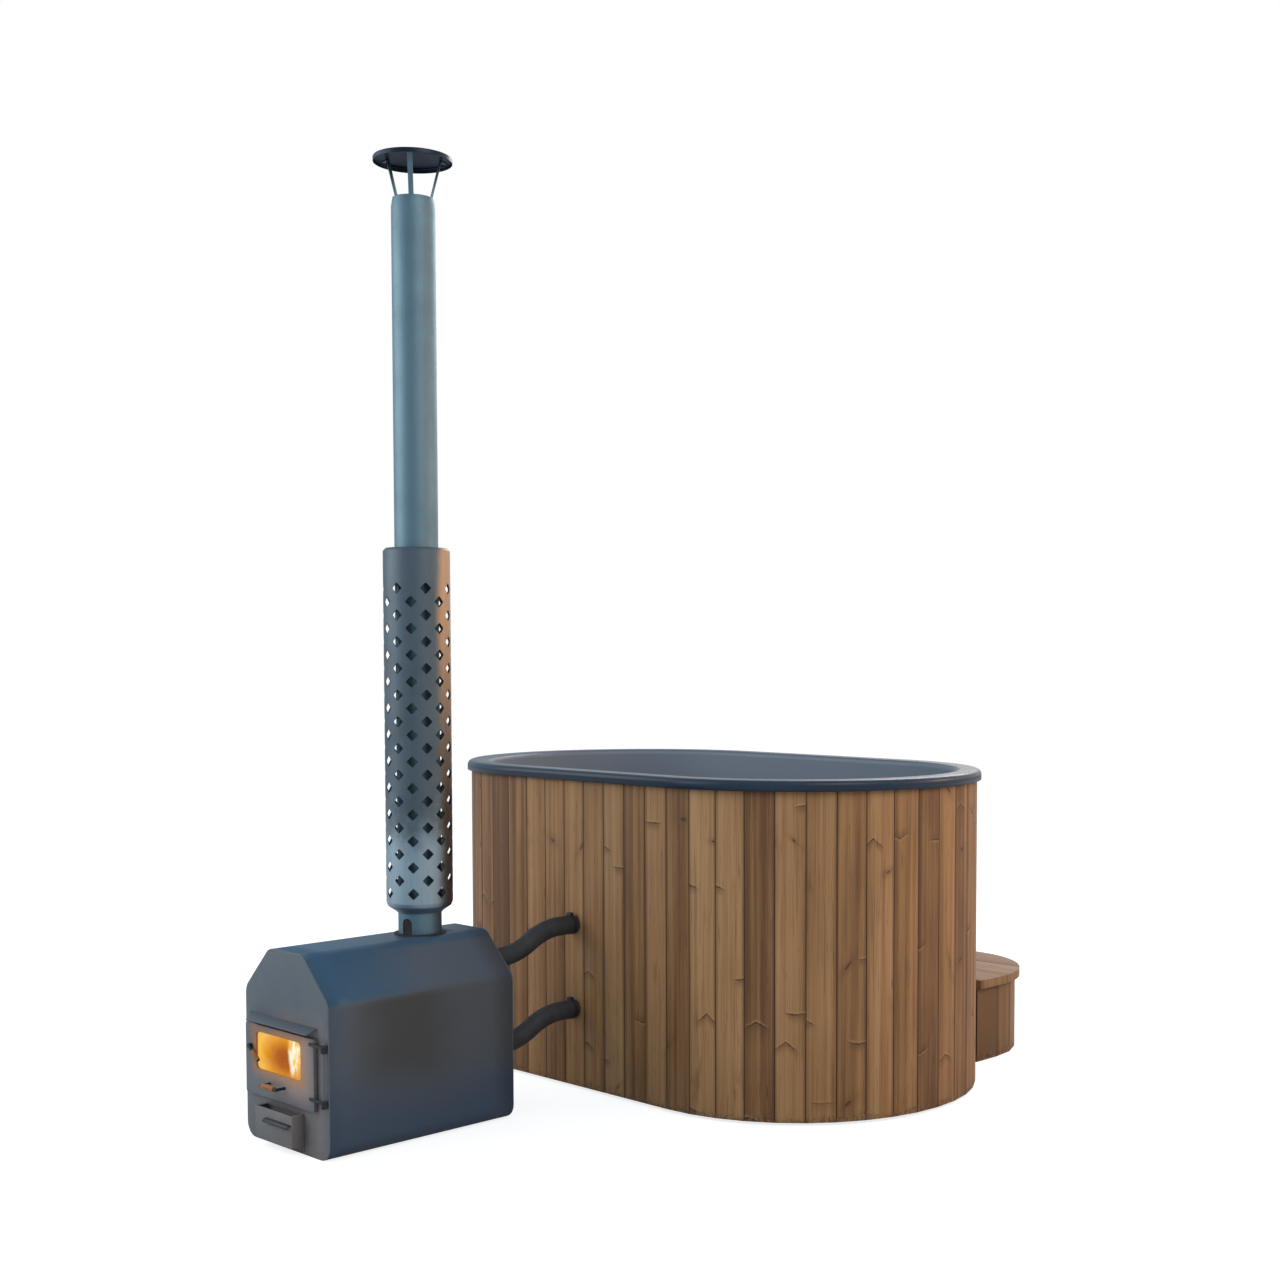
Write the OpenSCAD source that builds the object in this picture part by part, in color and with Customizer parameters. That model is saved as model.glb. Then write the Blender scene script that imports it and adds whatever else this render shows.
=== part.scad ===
// Oval wooden hot tub with an outside wood-fired heater, its flue, two hoses and a step.
// Millimetres, +Z up. The origin is on the ground, under the middle of the tub.
// +X runs along the tub, and the heater stands on the -Y side with its door facing -Y.

/* [Tub] */
// Length over the cladding
tub_length = 1810; // [1500:10:2200]
// Width over the cladding
tub_width = 1100; // [980:10:1300]
// Height of the rim above the ground
tub_height = 960; // [860:10:1100]

/* [Cladding] */
// Nominal cover width of a stave
stave_width = 88; // [70:1:110]
// Thickness of a stave
stave_thickness = 20; // [16:1:24]
// Open joint between two staves
stave_gap = 0.6; // [0.4:0.1:1.2]
// Chamfer along a stave's front edges
stave_chamfer = 2; // [1:0.5:3]
// Thickness of a stave's tongue
tongue_thickness = 6; // [4:0.5:7]
// Height of the staves' lower ends above the ground
stave_lift = 8; // [5:1:20]

/* [Liner] */
// Thickness of the moulded shell
shell = 6; // [4:0.5:8]
// Distance from the staves' outer face in to the basin's wall
basin_inset = 66; // [62:1:80]
// How far the rolled rim stands out past the staves
rim_overhang = 13; // [11:1:20]
// Depth of the rim's outer lip
rim_depth = 30; // [24:1:45]
// Radius of the rim's outer roll
rim_roll = 15; // [12:1:18]
// Radius of the rim's inner edge
basin_edge = 16; // [12:1:20]
// Height of the basin's floor above the ground
floor_height = 130; // [120:1:170]
// Radius between the basin's wall and floor
floor_radius = 70; // [40:5:90]
// Leg room between the two benches
bench_spacing = 860; // [700:10:900]
// Height of a bench above the basin's floor
bench_height = 330; // [250:10:380]
// Radius along a bench's front edge
bench_edge = 40; // [20:5:60]

/* [Frame] */
// Thickness of the frame rings
ring_thickness = 21; // [18:1:27]
// Clearance between a frame ring and the rounded edge of the basin
ring_clearance = 1; // [0.5:0.5:3]
// Height of the middle ring above the ground
middle_ring_height = 620; // [560:5:680]
// Depth of a frame post, across the wall
post_depth = 26; // [20:1:28]
// Width of a frame post, along the wall
post_width = 60; // [45:5:80]
// Height of the base bearers
bearer_height = 70; // [60:1:78]
// Width of a base bearer
bearer_width = 45; // [36:1:60]
// Distance between two bearers
bearer_spacing = 450; // [400:10:500]
// Thickness of the base plate
base_thickness = 18; // [15:1:24]

/* [Hoses] */
// Board of the heater's side that the hoses pass through, counted from the -X end
hose_stave = 4; // [3:1:5]
// Height of the upper port in the tub
upper_port_height = 498; // [480:1:530]
// Height of the lower port in the tub
lower_port_height = 243; // [240:1:260]
// How far a hose climbs from the heater to the tub
hose_rise = 65; // [40:1:75]
// Inside diameter of a hose
hose_bore = 48; // [44:1:50]
// Wall of a hose
hose_wall = 4; // [3:0.5:5]
// Wall of the pipe spigots
spigot_wall = 3; // [2:0.5:4]
// How far a spigot reaches into a hose
spigot_reach = 52; // [44:1:56]
// Width of a hose clamp's band
clamp_width = 12; // [9:1:16]

/* [Drain] */
// Board of the far side that the drain passes through, counted from the -X end
drain_stave = 2; // [2:1:3]
// Outside diameter of the drain pipe
drain_diameter = 40; // [32:1:44]
// Wall of the drain pipe
drain_wall = 3; // [2:0.5:4]
// Height of the drain pipe's centre above the ground
drain_height = 38; // [34:1:40]
// Radius of the drain pipe's elbow, on its centre line
drain_elbow = 45; // [40:1:60]
// Length of the drain's ball valve
valve_length = 90; // [80:1:110]

/* [Heater] */
// Width of the heater
heater_width = 400; // [380:5:440]
// Length of the heater
heater_length = 600; // [560:10:700]
// Height of the heater
heater_height = 525; // [500:5:560]
// Height of the heater's upright sides
shoulder_height = 408; // [390:2:430]
// Width of the heater's flat top
top_width = 160; // [150:2:180]
// Radius of the jacket's upper folds
fold_radius = 44; // [14:2:50]
// Radius of the jacket's lower folds
heel_radius = 40; // [26:2:44]
// Thickness of the jacket's sheet
jacket_sheet = 3; // [2:0.5:4]
// Thickness of the heater's front and rear plates
end_plate = 4; // [3:0.5:6]
// Clear distance between the heater and the cladding
heater_gap = 340; // [320:5:380]
// Distance from the heater's middle to the hoses, along the tub
heater_offset = 66; // [50:2:90]
// Distance from the heater's front to the flue's centre
flue_setback = 430; // [400:5:450]
// Water space beside the firebox
water_space = 22; // [18:1:30]
// Height of the firebox's roof
firebox_height = 420; // [400:5:440]
// Water space behind the firebox
rear_water_space = 56; // [40:2:80]
// Thickness of the firebox's plate
firebox_plate = 4; // [3:0.5:6]
// Height of the grate
grate_height = 118; // [116:1:122]

/* [Door] */
// Left edge of the door, from the heater's left side
door_left = 18; // [14:1:22]
// Width of the door
door_width = 332; // [326:1:336]
// Height of the door's lower edge above the ground
door_low = 125; // [123:1:130]
// Height of the door
door_tall = 190; // [186:1:191]
// Thickness of the door
door_thickness = 10; // [9:1:12]
// Gap between the door and the front plate, filled by the seal
door_gap = 2; // [1.5:0.5:2.5]
// Width of the door frame's lap over the opening
door_lap = 15; // [12:1:17]
// Corner radius of the window
window_radius = 14; // [4:1:16]
// Left edge of the window, from the heater's left side
window_left = 70; // [66:1:74]
// Width of the window
window_width = 218; // [180:2:220]
// Height of the window's lower edge above the ground
window_low = 196; // [186:1:196]
// Height of the window
window_tall = 101; // [88:1:101]
// Thickness of the glass
glass_thickness = 4; // [3:0.5:5]
// Diameter of the hinge rod
hinge_rod_diameter = 8; // [6:1:10]
// Distance from the heater's right side to the hinge rod
hinge_inset = 5; // [5:1:14]
// Height of the hood's top edge above the ground
hood_height = 343; // [342:1:350]
// How far the hood stands out
hood_reach = 34; // [26:1:38]
// How far the hood slopes down
hood_drop = 12; // [8:1:18]
// Thickness of the hood's sheet
hood_sheet = 3; // [2:0.5:4]

/* [Ash drawer] */
// Left edge of the ash drawer, from the heater's left side
ash_left = 106; // [100:1:112]
// Width of the ash drawer's front
ash_width = 178; // [160:2:186]
// Height of the ash drawer
ash_tall = 100; // [90:1:104]
// Height of the lower edge of the ash drawer's front
ash_front_low = 22; // [12:1:30]
// How far the ash drawer's front stands out
ash_reach = 38; // [30:1:45]
// Length of the ash tray inside the heater
ash_length = 380; // [300:10:420]
// Sheet of the ash drawer
ash_sheet = 2; // [1.5:0.5:3]
// Clearance around the ash drawer
ash_clearance = 3; // [2:0.5:4]

/* [Flue] */
// Outside diameter of the flue pipe
flue_diameter = 120; // [110:2:140]
// Sheet of the flue pipe
flue_sheet = 1.5; // [1:0.5:2]
// Length of the lower flue pipe
lower_flue_length = 1000; // [900:10:1040]
// Length of the upper flue pipe
upper_flue_length = 1080; // [800:10:1200]
// Length of the socket joint between the pipes
socket_length = 50; // [40:5:70]
// Height of the collar on the heater's top
collar_height = 60; // [56:2:90]
// Outside diameter of the heat guard
guard_diameter = 184; // [170:2:200]
// Sheet of the heat guard
guard_sheet = 2; // [1.5:0.5:3]
// Length of the heat guard
guard_length = 975; // [700:5:1000]
// Gap between the heater's top and the guard's foot
guard_lift = 60; // [55:1:70]
// Length of the guard's tapered foot
guard_foot = 32; // [25:1:40]
// Corner to corner size of a perforation
hole_size = 33; // [24:1:34]
// Distance between two rows of perforations
hole_pitch = 36.6; // [34.6:0.2:40]
// Perforations in a row
holes_per_row = 7; // [6:1:8]
// Diameter of the rain cap
cap_diameter = 216; // [190:2:240]
// Gap between the pipe's top and the cap's edge
cap_gap = 104; // [90:2:120]
// Height of the cap's cone
cap_rise = 30; // [18:1:40]
// Depth of the cap's turned edge
cap_edge = 13; // [8:1:16]
// Width of a strut under the cap
strut_width = 14; // [10:1:18]
// Thickness of a strut
strut_thickness = 2.5; // [2:0.5:4]

/* [Step] */
// Width of the step
step_width = 650; // [560:10:700]
// Depth of the step, away from the tub
step_depth = 435; // [400:5:500]
// Height of the step
step_height = 265; // [240:5:300]
// Place of the step's centre along the tub
step_x = 330; // [250:10:380]
// Thickness of a tread board
tread_thickness = 28; // [22:1:34]
// Number of tread boards
tread_boards = 3; // [3:1:5]
// Gap between two tread boards
tread_gap = 4; // [2:0.5:6]
// Overhang of the tread past the step's staves
tread_overhang = 15; // [8:1:20]
// Thickness of the step's ribs
rib_thickness = 21; // [18:1:27]
// Width of the step's ribs
rib_width = 60; // [45:5:70]

/* [Hidden] */
$fn = 72;
fit = 0.3;          // clearance between pieces that seat on each other
running = 0.05;     // radial clearance of a turning fit
END_GROUPS = 3;              // groups of staves round each end
STAVE_NODES = [for (g = [1:2 * (1 + END_GROUPS)]) str("staves_", g)];

// Tub plan: a straight middle with a half circle at each end
half_straight = (tub_length - tub_width) / 2;
end_r = tub_width / 2;
side_count = max(1, round(2 * half_straight / stave_width));
side_w = 2 * half_straight / side_count;
end_count = round(180 * end_r * PI / 180 / stave_width);
end_pitch = 180 / end_count;
end_w = 2 * end_r * sin(end_pitch / 2);
end_flat = end_r * cos(end_pitch / 2);     // distance from the arc's centre to an end stave's face
hose_x = -half_straight + (hose_stave - 0.5) * side_w;
drain_x = -half_straight + (drain_stave - 0.5) * side_w;
heater_x = hose_x - heater_offset;
clad_inner_r = end_flat - stave_thickness;
clad_inner_side = end_r - stave_thickness;

// Liner
basin_r = end_r - basin_inset;
rim_r = end_r + rim_overhang;
flange_under = tub_height - shell;
floor_under = floor_height - shell;
bench_front = bench_spacing / 2;
bench_z = floor_height + bench_height;
grille_r = 38;
floor_round = min(floor_radius, lower_port_height - grille_r - floor_height - 1);
bench_toe = 40;              // radius between the floor and a bench's front
seat_drop = 3;               // the staves end this much below the flange
stave_top = flange_under - seat_drop;

// Frame
ring_outer = clad_inner_r - fit;
ring_outer_side = clad_inner_side - fit;
ring_inner = basin_r + basin_edge + ring_clearance;
post_r = (ring_outer + ring_inner) / 2;
base_top = bearer_height + base_thickness;
bearer_half = ring_inner - 50;
drain_clearance = 7;         // round the pipe in the base plate, where its bend begins
upper_ring_z = flange_under - ring_thickness;
ring_segments = 8;           // segments in each half circle
post_side_x = half_straight * 0.62;
post_angles = [-60, 0, 60];
joist_width = 45;
joist_reach = basin_r - floor_round - joist_width / 2;   // Y of the outer joists
joist_places = [-joist_reach, -joist_reach / 3, joist_reach / 3, joist_reach];

// Ports and hoses
spigot_r = hose_bore / 2 - running;
hose_r = hose_bore / 2 + hose_wall;
port_hole_r = spigot_r + 2.5;
clad_face = -end_r;          // Y of the cladding's flat side towards the heater
heater_rear_y = clad_face - heater_gap;
heater_front_y = heater_rear_y - heater_length;
port_heights = [upper_port_height, lower_port_height];
hose_end_gap = 3;
gasket_thickness = 2;
flange_thickness = 4;
nut_thickness = 10;
nut_r = 34;

// Heater
heater_half = heater_width / 2;
heater_left = heater_x - heater_half;
flue_y = heater_front_y + flue_setback;
firebox_half = heater_half - jacket_sheet - water_space;
firebox_y0 = heater_front_y + end_plate;
firebox_y1 = heater_rear_y - end_plate - rear_water_space;
firebox_floor = jacket_sheet;
ash_lift = firebox_floor + firebox_plate + fit;
ash_tray_tall = ash_tall - 24;
opening_left = door_left + door_lap + 4;
opening_right = door_left + door_width - door_lap - 4;
opening_low = door_low + door_lap;
opening_high = door_low + door_tall - door_lap + 3;
door_back = heater_front_y - door_gap;
door_front = door_back - door_thickness;
hinge_x = heater_left + heater_width - hinge_inset;
strap_thickness = 5;
strap_tall = 8;
hinge_y = door_front + 2;
hinge_r = hinge_rod_diameter / 2;
knuckle_r = hinge_r + 4.5;
strap_heights = [door_low + 30, door_low + door_tall - 17];
strap_left = door_left + door_width - 16;
bracket_tall = 11;
latch_x = heater_left + opening_left + 9;
latch_z = door_low + 129;
latch_pin_r = 3;
latch_boss_r = 6.5;
latch_tilt = 35;             // how far the grip hangs below level at rest
latch_arm = 55;              // from the pin to the grip's end
latch_bar = 8;               // width of the lever's bar
latch_thickness = 5;
latch_back = door_front - 5; // Y of the lever's back face
tongue_y = firebox_y0 + 1;   // Y of the tongue's face, behind the front plate
tongue_length = opening_left + 9 - (jacket_sheet + water_space + firebox_plate) - 2;
pull_z = door_low + 40;
pull_left = 134;
pull_length = 80;
pull_rod_r = 4;
pull_reach = 26;
ash_inner = ash_width - 8;

// Flue
flue_r = flue_diameter / 2;
collar_r = flue_r - flue_sheet - fit;
collar_top = heater_height + collar_height;
collar_flange = 3;
flue_z0 = heater_height + collar_flange;
flue_joint = flue_z0 + lower_flue_length;
flue_top = flue_joint - socket_length + upper_flue_length;
swage = 25;                  // height of the drawn-in top end
swage_in = 4;
guard_r = guard_diameter / 2;
guard_z0 = heater_height + guard_lift;
guard_body_z0 = guard_z0 + guard_foot;
guard_top = guard_body_z0 + guard_length;
hole_low = 28;               // from the guard's foot to its lowest row of perforations
hole_high = 103;             // plain band at the guard's top, to the highest row
hole_rows = floor((guard_length - hole_low - hole_high) / hole_pitch) + 1;
hole_z0 = guard_body_z0 + hole_low;
hole_start = -46.2;          // direction of the lowest row's first perforation
cap_z = flue_top + cap_gap;
strut_foot_r = sqrt(pow(flue_r - flue_sheet - swage_in - fit, 2) - pow(strut_width / 2, 2));
strut_head_r = 84;
cap_r = cap_diameter / 2;
cap_sheet = 1.5;

// Step
step_half = step_width / 2;
step_back = end_r + fit;
step_straight = step_depth - step_half;
skirt_half = step_half - tread_overhang;
skirt_top = step_height - tread_thickness;
skirt_end_count = round(PI * skirt_half / stave_width);
skirt_pitch = 180 / skirt_end_count;
skirt_end_w = 2 * skirt_half * sin(skirt_pitch / 2);
skirt_flat = skirt_half * cos(skirt_pitch / 2);
skirt_side_count = max(1, round(step_straight / stave_width));
skirt_side_w = step_straight / skirt_side_count;
rib_outer = skirt_flat - stave_thickness - fit;
rib_outer_side = skirt_half - stave_thickness - fit;
rib_low_z = 24;
step_post = 38;

// ---------- helpers ----------

function arc(cx, cy, r, a0, a1, n = 8) =
    [for (i = [0:n]) [cx + r * cos(a0 + (a1 - a0) * i / n), cy + r * sin(a0 + (a1 - a0) * i / n)]];

// A rounded corner at p between the points a and b
function corner(a, p, b, r, n = 6) =
    let (
        u = (a - p) / norm(a - p),
        v = (b - p) / norm(b - p),
        half = acos(u * v) / 2,
        m = (u + v) / norm(u + v),
        c = p + m * r / sin(half),
        s0 = p + u * r / tan(half) - c,
        s1 = p + v * r / tan(half) - c,
        a0 = atan2(s0[1], s0[0]),
        turn = atan2(s0[0] * s1[1] - s0[1] * s1[0], s0 * s1)
    ) arc(c[0], c[1], r, a0, a0 + turn, n);

function rounded(points, radii) =
    let (n = len(points))
    [for (i = [0:n - 1]) each corner(points[(i + n - 1) % n], points[i], points[(i + 1) % n], radii[i])];

module stadium(r) {
    for (s = [-1, 1]) translate([s * half_straight, 0]) circle(r);
    square([2 * half_straight, 2 * r], center = true);
}

// Sweeps a section drawn as (distance from the tub's spine, height) all the way round the tub
module sweep_round() {
    for (s = [0, 180]) rotate([0, 0, s]) {
        translate([half_straight, 0, 0]) rotate([0, 0, -90]) rotate_extrude(angle = 180) children();
        translate([-half_straight, 0, 0]) rotate([90, 0, 90]) linear_extrude(2 * half_straight) children();
    }
}

module tube(r, wall, h) {
    difference() {
        cylinder(r = r, h = h);
        translate([0, 0, -1]) cylinder(r = r - wall, h = h + 2);
    }
}

// A hex bar with the given distance across its flats
module hex(flats, h) { cylinder(r = flats / 2 / cos(30), h = h, $fn = 6); }

// ---------- cladding ----------

// Cross-section of a tongue and groove stave. X points outwards, and half is its joints' mitre.
module stave_section(w, half, tongue = true) {
    t = stave_thickness;
    y = w / 2 - stave_gap / 2;
    c = stave_chamfer;
    reach = tongue ? tongue_thickness : 0;
    s0 = (t - tongue_thickness) / 2;
    s1 = s0 + tongue_thickness;
    slack = stave_gap;
    // a point on the tongue's side, or the groove's, at depth s and out by d
    function lap(s, d) = [-s * cos(half) - d * sin(half), y - s * sin(half) + d * cos(half)];
    function slot(s, d) = [-s * cos(half) + d * sin(half), -y + s * sin(half) + d * cos(half)];
    polygon([
        [0, -y + c], [0, y - c], lap(c, 0),
        lap(s0, 0), lap(s0, reach), lap(s1, reach), lap(s1, 0), lap(t / cos(half), 0),
        slot(t / cos(half), 0), slot(s1 + slack, 0), slot(s1 + slack, tongue_thickness + slack),
        slot(s0 - slack, tongue_thickness + slack), slot(s0 - slack, 0), slot(c, 0)]);
}

// Where stave i stands: [x, y, direction, width, mitre]
function stave_place(i) =
    let (
        run = side_count + end_count,
        back = i >= run,
        k = i % run,
        s = back ? -1 : 1,
        on_side = k < side_count,
        turn = back ? 180 : 0,
        a = -90 + (k - side_count + 0.5) * end_pitch
    )
    on_side
        ? [s * (-half_straight + (k + 0.5) * side_w), -s * end_r, -90 + turn, side_w, 0]
        : [s * (half_straight + end_flat * cos(a)), s * end_flat * sin(a), a + turn, end_w, end_pitch / 2];

module port_holes(r) {
    for (z = port_heights)
        translate([hose_x, clad_face + stave_thickness + 5, z]) rotate([90, 0, 0])
            cylinder(r = r, h = stave_thickness + 10);
}

module drain_hole_side() {
    translate([drain_x, end_r + 5, drain_height]) rotate([90, 0, 0])
        cylinder(r = drain_diameter / 2 + 1.5, h = stave_thickness + 10);
}

module stave(i) {
    p = stave_place(i);
    near_ports = p[1] < 0 && abs(p[0] - hose_x) < p[3] / 2 + port_hole_r + tongue_thickness;
    near_drain = p[1] > 0 && abs(p[0] - drain_x) < p[3] / 2 + drain_diameter;
    difference() {
        translate([p[0], p[1], stave_lift]) rotate([0, 0, p[2]])
            linear_extrude(stave_top - stave_lift) stave_section(p[3], p[4]);
        if (near_ports) port_holes(port_hole_r);
        if (near_drain) drain_hole_side();
    }
}

// Group 0 of each half is its straight side, and the others share its end
module stave_group(g) {
    half = floor(g / (1 + END_GROUPS));
    part = g % (1 + END_GROUPS);
    start = half * (side_count + end_count) + (part == 0 ? 0 : side_count + floor((part - 1) * end_count / END_GROUPS));
    end = half * (side_count + end_count) + side_count + (part == 0 ? 0 : floor(part * end_count / END_GROUPS));
    color("peru") for (i = [start:end - 1]) stave(i);
}

// ---------- liner ----------

module basin_section() {
    polygon(concat(
        [[0, floor_height]],
        arc(basin_r - floor_round, floor_height + floor_round, floor_round, -90, 0),
        arc(basin_r + basin_edge, tub_height - basin_edge, basin_edge, 180, 90),
        [[basin_r + basin_edge, tub_height + 10], [0, tub_height + 10]]));
}

module shell_section() {
    polygon(concat(
        [[0, floor_under]],
        arc(basin_r - floor_round, floor_height + floor_round, floor_round + shell, -90, 0),
        arc(basin_r + basin_edge, tub_height - basin_edge, basin_edge - shell, 180, 90),
        arc(rim_r - rim_roll, tub_height - rim_roll, rim_roll - shell, 90, 0),
        [[rim_r - shell, tub_height - rim_depth], [rim_r, tub_height - rim_depth]],
        arc(rim_r - rim_roll, tub_height - rim_roll, rim_roll, 0, 90),
        [[0, tub_height]]));
}

// A bench as a block across the tub: in is 0 for its upper skin, and the shell's thickness for its lower one
module bench_block(in) {
    far = half_straight + end_r;
    for (s = [0, 1]) mirror([s, 0, 0]) translate([0, end_r, 0]) rotate([90, 0, 0])
        linear_extrude(2 * end_r) polygon(concat(
            [[bench_front - bench_toe, floor_height - 100]],
            arc(bench_front - bench_toe, floor_height + bench_toe, bench_toe + in, -90, 0),
            arc(bench_front + bench_edge, bench_z - bench_edge, bench_edge - in, 180, 90),
            [[far, bench_z - in], [far, floor_height - 100]]));
}

module liner() {
    color("slategray") difference() {
        sweep_round() shell_section();
        bench_block(shell);
        difference() {
            sweep_round() basin_section();
            bench_block(0);
        }
        for (z = port_heights) translate([hose_x, -basin_r + 20, z]) rotate([90, 0, 0])
            cylinder(r = spigot_r + fit, h = shell + 40);
        translate([drain_x, 0, floor_under - 5]) cylinder(r = drain_diameter / 2 + fit, h = shell + 10);
    }
}

// ---------- frame ----------

// A ring of segments that butt together, each short by the joint's clearance
module frame_ring(z) {
    step = 180 / ring_segments;
    slit = fit / ring_inner * 180 / PI;
    for (s = [0, 180]) rotate([0, 0, s]) {
        for (k = [0:ring_segments - 1])
            translate([half_straight, 0, z]) rotate([0, 0, -90 + k * step + slit / 2])
                rotate_extrude(angle = step - slit)
                    translate([ring_inner, 0]) square([ring_outer - ring_inner, ring_thickness]);
        translate([-half_straight + fit / 2, ring_inner, z])
            cube([2 * half_straight - fit, ring_outer_side - ring_inner, ring_thickness]);
    }
}

module upper_ring() { color("burlywood") frame_ring(upper_ring_z); }
module middle_ring() { color("burlywood") frame_ring(middle_ring_height); }
module lower_ring() { color("burlywood") frame_ring(base_top); }

module post_pair(h) { translate([-post_depth / 2, -post_width / 2, 0]) cube([post_depth, post_width, h]); }

module frame_posts() {
    spans = [
        [base_top + ring_thickness, middle_ring_height],
        [middle_ring_height + ring_thickness, upper_ring_z]];
    color("burlywood") for (span = spans, s = [0, 180]) rotate([0, 0, s]) {
        for (x = [-1, 1]) translate([x * post_side_x, post_r, span[0]]) rotate([0, 0, 90])
            post_pair(span[1] - span[0]);
        for (a = post_angles) translate([half_straight, 0, span[0]]) rotate([0, 0, a])
            translate([post_r, 0, 0]) post_pair(span[1] - span[0]);
    }
}

module base_plate() {
    color("burlywood") difference() {
        translate([0, 0, bearer_height]) linear_extrude(base_thickness) stadium(ring_outer);
        translate([drain_x, 0, bearer_height - 1])
            cylinder(r = drain_diameter / 2 + drain_clearance, h = base_thickness + 2);
    }
}

module base_bearers() {
    color("burlywood") for (k = [-1:1])
        translate([k * bearer_spacing - bearer_width / 2, -bearer_half, 0])
            cube([bearer_width, 2 * bearer_half, bearer_height]);
}

module floor_joists() {
    half_x = bench_front - bench_toe - 10;
    color("burlywood") for (y = joist_places)
        translate([-half_x, y - joist_width / 2, base_top]) cube([2 * half_x, joist_width, floor_under - base_top]);
}

// ---------- drain ----------

drain_r = drain_diameter / 2;
drain_flange = drain_r + 14;
drain_top = floor_height + 3;
drain_exit = end_r + 14;     // Y where the pipe ends and the valve begins

module drain_strainer() {
    color("silver") difference() {
        translate([drain_x, 0, drain_top]) cylinder(r = drain_flange - 2, h = 2.5);
        for (r = [8, 15], k = [0:5])
            translate([drain_x, 0, drain_top - 1]) rotate([0, 0, k * 60 + r * 2])
                translate([r, 0, 0]) cylinder(r = 2.4, h = 5);
    }
}

module drain_pipe() {
    bend_z = drain_height + drain_elbow;
    bore = drain_r - drain_wall;
    color("gainsboro") {
        translate([drain_x, 0, bend_z - 1]) tube(drain_r, drain_wall, drain_top - bend_z + 1);
        difference() {
            translate([drain_x, 0, floor_height]) cylinder(r = drain_flange, h = drain_top - floor_height);
            translate([drain_x, 0, floor_height - 1]) cylinder(r = bore + 1, h = 6);
        }
        translate([drain_x, drain_elbow, bend_z]) rotate([0, 90, 0]) rotate([0, 0, -90])
            rotate_extrude(angle = 90) translate([drain_elbow, 0]) difference() {
                circle(drain_r + 1.5);
                circle(bore + 0.5);
            }
        translate([drain_x, drain_exit, drain_height]) rotate([90, 0, 0])
            tube(drain_r, drain_wall, drain_exit - drain_elbow + 1);
    }
}

valve_stem_y = drain_exit + valve_length / 2 - 6;
valve_r = drain_r + 5;
outlet_r = drain_r - 1;
outlet_length = 28;
valve_bonnet = 11;

module drain_valve() {
    body = valve_length - outlet_length;
    color("silver") translate([drain_x, drain_exit, drain_height]) rotate([-90, 0, 0]) difference() {
        union() {
            cylinder(r = valve_r, h = body);
            cylinder(r = outlet_r, h = valve_length);
            translate([0, 0, valve_stem_y - drain_exit]) rotate([90, 0, 0]) {
                cylinder(r = 11, h = valve_r + valve_bonnet);
                cylinder(r = 5, h = valve_r + valve_bonnet + 9);
            }
        }
        translate([0, 0, -1]) cylinder(r = drain_r - drain_wall, h = 16);
        translate([0, 0, body - 12]) cylinder(r = drain_r - drain_wall - 1, h = outlet_length + 13);
    }
}

lever_z = drain_height + valve_r + valve_bonnet;

module drain_lever() {
    color("firebrick") difference() {
        union() {
            translate([drain_x, valve_stem_y, lever_z + fit]) cylinder(r = 11, h = 4);
            translate([drain_x, valve_stem_y - 7, lever_z + fit]) cube([88, 14, 3]);
            translate([drain_x + 38, valve_stem_y - 9, lever_z + fit]) cube([52, 18, 8]);
        }
        translate([drain_x, valve_stem_y, lever_z - 1]) cylinder(r = 5 + running, h = 12);
    }
}

// ---------- ports and hoses ----------

inner_flange_y = -basin_r + gasket_thickness;

module at_ports(y) {
    for (z = port_heights) translate([hose_x, y, z]) rotate([90, 0, 0]) children();
}

// Through-hull pipes: a flange inside the basin, and a spigot that stands out of the cladding
module tub_spigots() {
    color("silver") at_ports(inner_flange_y + flange_thickness) difference() {
        reach = inner_flange_y + flange_thickness - clad_face + hose_end_gap + spigot_reach;
        union() {
            cylinder(r = grille_r, h = flange_thickness);
            cylinder(r = spigot_r, h = reach);
        }
        translate([0, 0, -1]) cylinder(r = spigot_r - spigot_wall, h = reach + 2);
    }
}

module spigot_gaskets() {
    color("dimgray") at_ports(inner_flange_y) difference() {
        cylinder(r = grille_r, h = gasket_thickness);
        translate([0, 0, -1]) cylinder(r = spigot_r + fit, h = gasket_thickness + 2);
    }
}

module spigot_nuts() {
    color("silver") at_ports(-basin_r - shell) difference() {
        hex(2 * nut_r - 6, nut_thickness);
        translate([0, 0, -1]) cylinder(r = spigot_r + running, h = nut_thickness + 2);
    }
}

module port_grilles() {
    color("silver") at_ports(inner_flange_y + flange_thickness + 2) difference() {
        cylinder(r = grille_r, h = 2);
        for (k = [-3:3]) translate([-16, k * 8 - 1.6, -1]) cube([32, 3.2, 4]);
    }
}

hose_y0 = heater_rear_y + hose_end_gap;
hose_y1 = clad_face - hose_end_gap;
hose_tail = spigot_reach;    // straight length over a spigot
hose_run = hose_y1 - hose_y0 - 2 * hose_tail;
// Two equal bends that meet half way join the ends as gently as can be
hose_tilt = 2 * atan(hose_rise / hose_run);
hose_bend_radius = hose_run / 2 / sin(hose_tilt);

module hose_section(slim = 0) {
    difference() {
        circle(hose_r - slim);
        circle(hose_bore / 2 + slim);
    }
}

seam = 0.5;                  // how far a straight length runs on over the bend it meets

// An upward bend in the Y-Z plane that starts at the origin, heading +Y
module hose_bend(slim = 0.05, over = 0) {
    translate([0, 0, hose_bend_radius]) rotate([0, 90, 0])
        rotate_extrude(angle = hose_tilt + over) translate([hose_bend_radius, 0]) hose_section(slim);
}

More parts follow.
